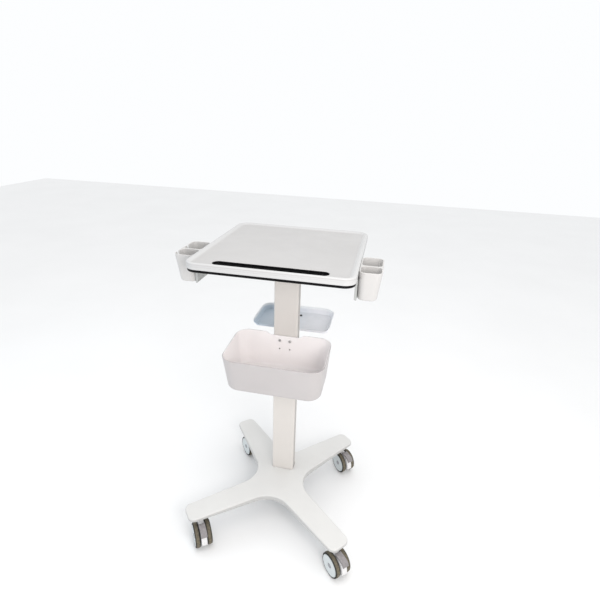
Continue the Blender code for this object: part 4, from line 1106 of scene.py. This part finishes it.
def build_stage():
    """A pale floor, an even sky and three soft lamps."""
    floor_material = Finish("floor_paper", 0.9)
    drift = floor_material.patches(2.0, 3.0, 0.3, 0.7)
    floor_material.color(floor_material.mix(drift, (0.86, 0.86, 0.86), (0.88, 0.88, 0.88)))
    bm = bmesh.new()
    bmesh.ops.create_grid(bm, x_segments=1, y_segments=1, size=FLOOR_HALF_SIZE)
    floor = make_object("floor", bm)
    floor.data.materials.append(floor_material.material)

    world = bpy.data.worlds.new("studio")
    world.use_nodes = True
    background = world.node_tree.nodes["Background"]
    background.inputs["Color"].default_value = SKY
    background.inputs["Strength"].default_value = 1.0
    bpy.context.scene.world = world

    for name, place, target, size, power, color in LAMPS:
        data = bpy.data.lights.new(name, "AREA")
        data.shape = "DISK"
        data.size = size
        data.energy = power
        data.color = color
        lamp = add_object(name, data)
        lamp.location = place
        lamp.visible_camera = False
        aim = Vector(target) - Vector(place)
        lamp.rotation_euler = aim.to_track_quat("-Z", "Y").to_euler()


def build_camera():
    """A standing person's view from the front right, looking down at the trolley."""
    data = bpy.data.cameras.new("camera")
    data.sensor_width = 36.0
    data.lens = CAMERA_LENS
    data.clip_end = 50.0
    camera = add_object("camera", data)
    yaw, pitch, roll = [math.radians(angle) for angle in CAMERA_TURN]
    forward = Vector((-math.sin(yaw) * math.cos(pitch), math.cos(yaw) * math.cos(pitch),
                      math.sin(pitch)))
    level_right = Vector((math.cos(yaw), math.sin(yaw), 0.0))
    level_up = level_right.cross(forward)
    right = level_right * math.cos(roll) + level_up * math.sin(roll)
    up = level_up * math.cos(roll) - level_right * math.sin(roll)
    rotation = Matrix((right, up, -forward)).transposed().to_4x4()
    camera.matrix_world = Matrix.Translation(CAMERA_PLACE) @ rotation
    bpy.context.scene.camera = camera


joints = {joint["name"]: joint for joint in frame["record"]["behaviour"]["joints"]}
swivels = {corner: joints[f"{corner}_swivel"]["pos_m"] for corner in CORNERS}
spins = {corner: joints[f"{corner}_wheel_left_spin"]["axis"] for corner in CORNERS}

materials = {
    "black": black_plastic("black_satin"),
    "black_rubber": black_plastic("black_rubber", 0.62),
    "black_steel": zinc_steel("black_oxide", (0.05, 0.05, 0.052), 0.42),
    "steel": zinc_steel("zinc_plated_steel"),
    "frame_grey": powder_coat("frame_grey_paint", (0.36, 0.37, 0.38), 0.5),
    "bracket_grey": powder_coat("bracket_grey_paint", (0.42, 0.43, 0.42), 0.45),
    "column_white": powder_coat("column_white_paint", (0.68, 0.645, 0.61)),
    # Painted shade for the column's grooved sides.
    "column_side_painted_shade": powder_coat("column_side_painted_shade_paint", (0.44, 0.42, 0.40), 0.5),
    # The base: painted shade on its upright faces, and darker in patches towards its lower edge.
    "base_white": moulding("base_white_plastic", (0.68, 0.675, 0.66), darker_below=0.0960,
                           painted_side_shade=0.74),
    # The basket's plastic: painted shade outside, painted light inside.
    "basket_painted_shade": moulding("basket_plastic_painted_shade", (0.50, 0.475, 0.472)),
    "basket_inner_painted_light": moulding("basket_inner_plastic_painted_light", (0.93, 0.895, 0.89)),
    "rear_white": rear_moulding("rear_white_plastic"),
    "holder_white": moulding("holder_white_plastic", (0.57, 0.56, 0.55)),
    "caster_white": moulding("caster_white_nylon", (0.78, 0.77, 0.77), 0.45, 900.0),
    "axle_grey": moulding("axle_grey_nylon", (0.30, 0.31, 0.33), 0.45, 900.0),
    "disc": moulding("disc_pale_nylon", (0.60, 0.64, 0.65), 0.42, 900.0),
    "pedal": pedal_nylon("pedal_grey_nylon"),
    "tyre": tyre_rubber("tyre_grey_rubber"),
}
build_tray(materials)
build_column(materials)
build_base(materials)
build_basket(materials)
build_rear_tray(materials)
for holder_side, holder_label in ((-1, "left"), (1, "right")):
    build_probe_holder(holder_side, holder_label, materials["holder_white"])
build_casters(materials)
dress_nodes(materials)
build_stage()
build_camera()
bpy.context.scene.view_settings.view_transform = "Standard"
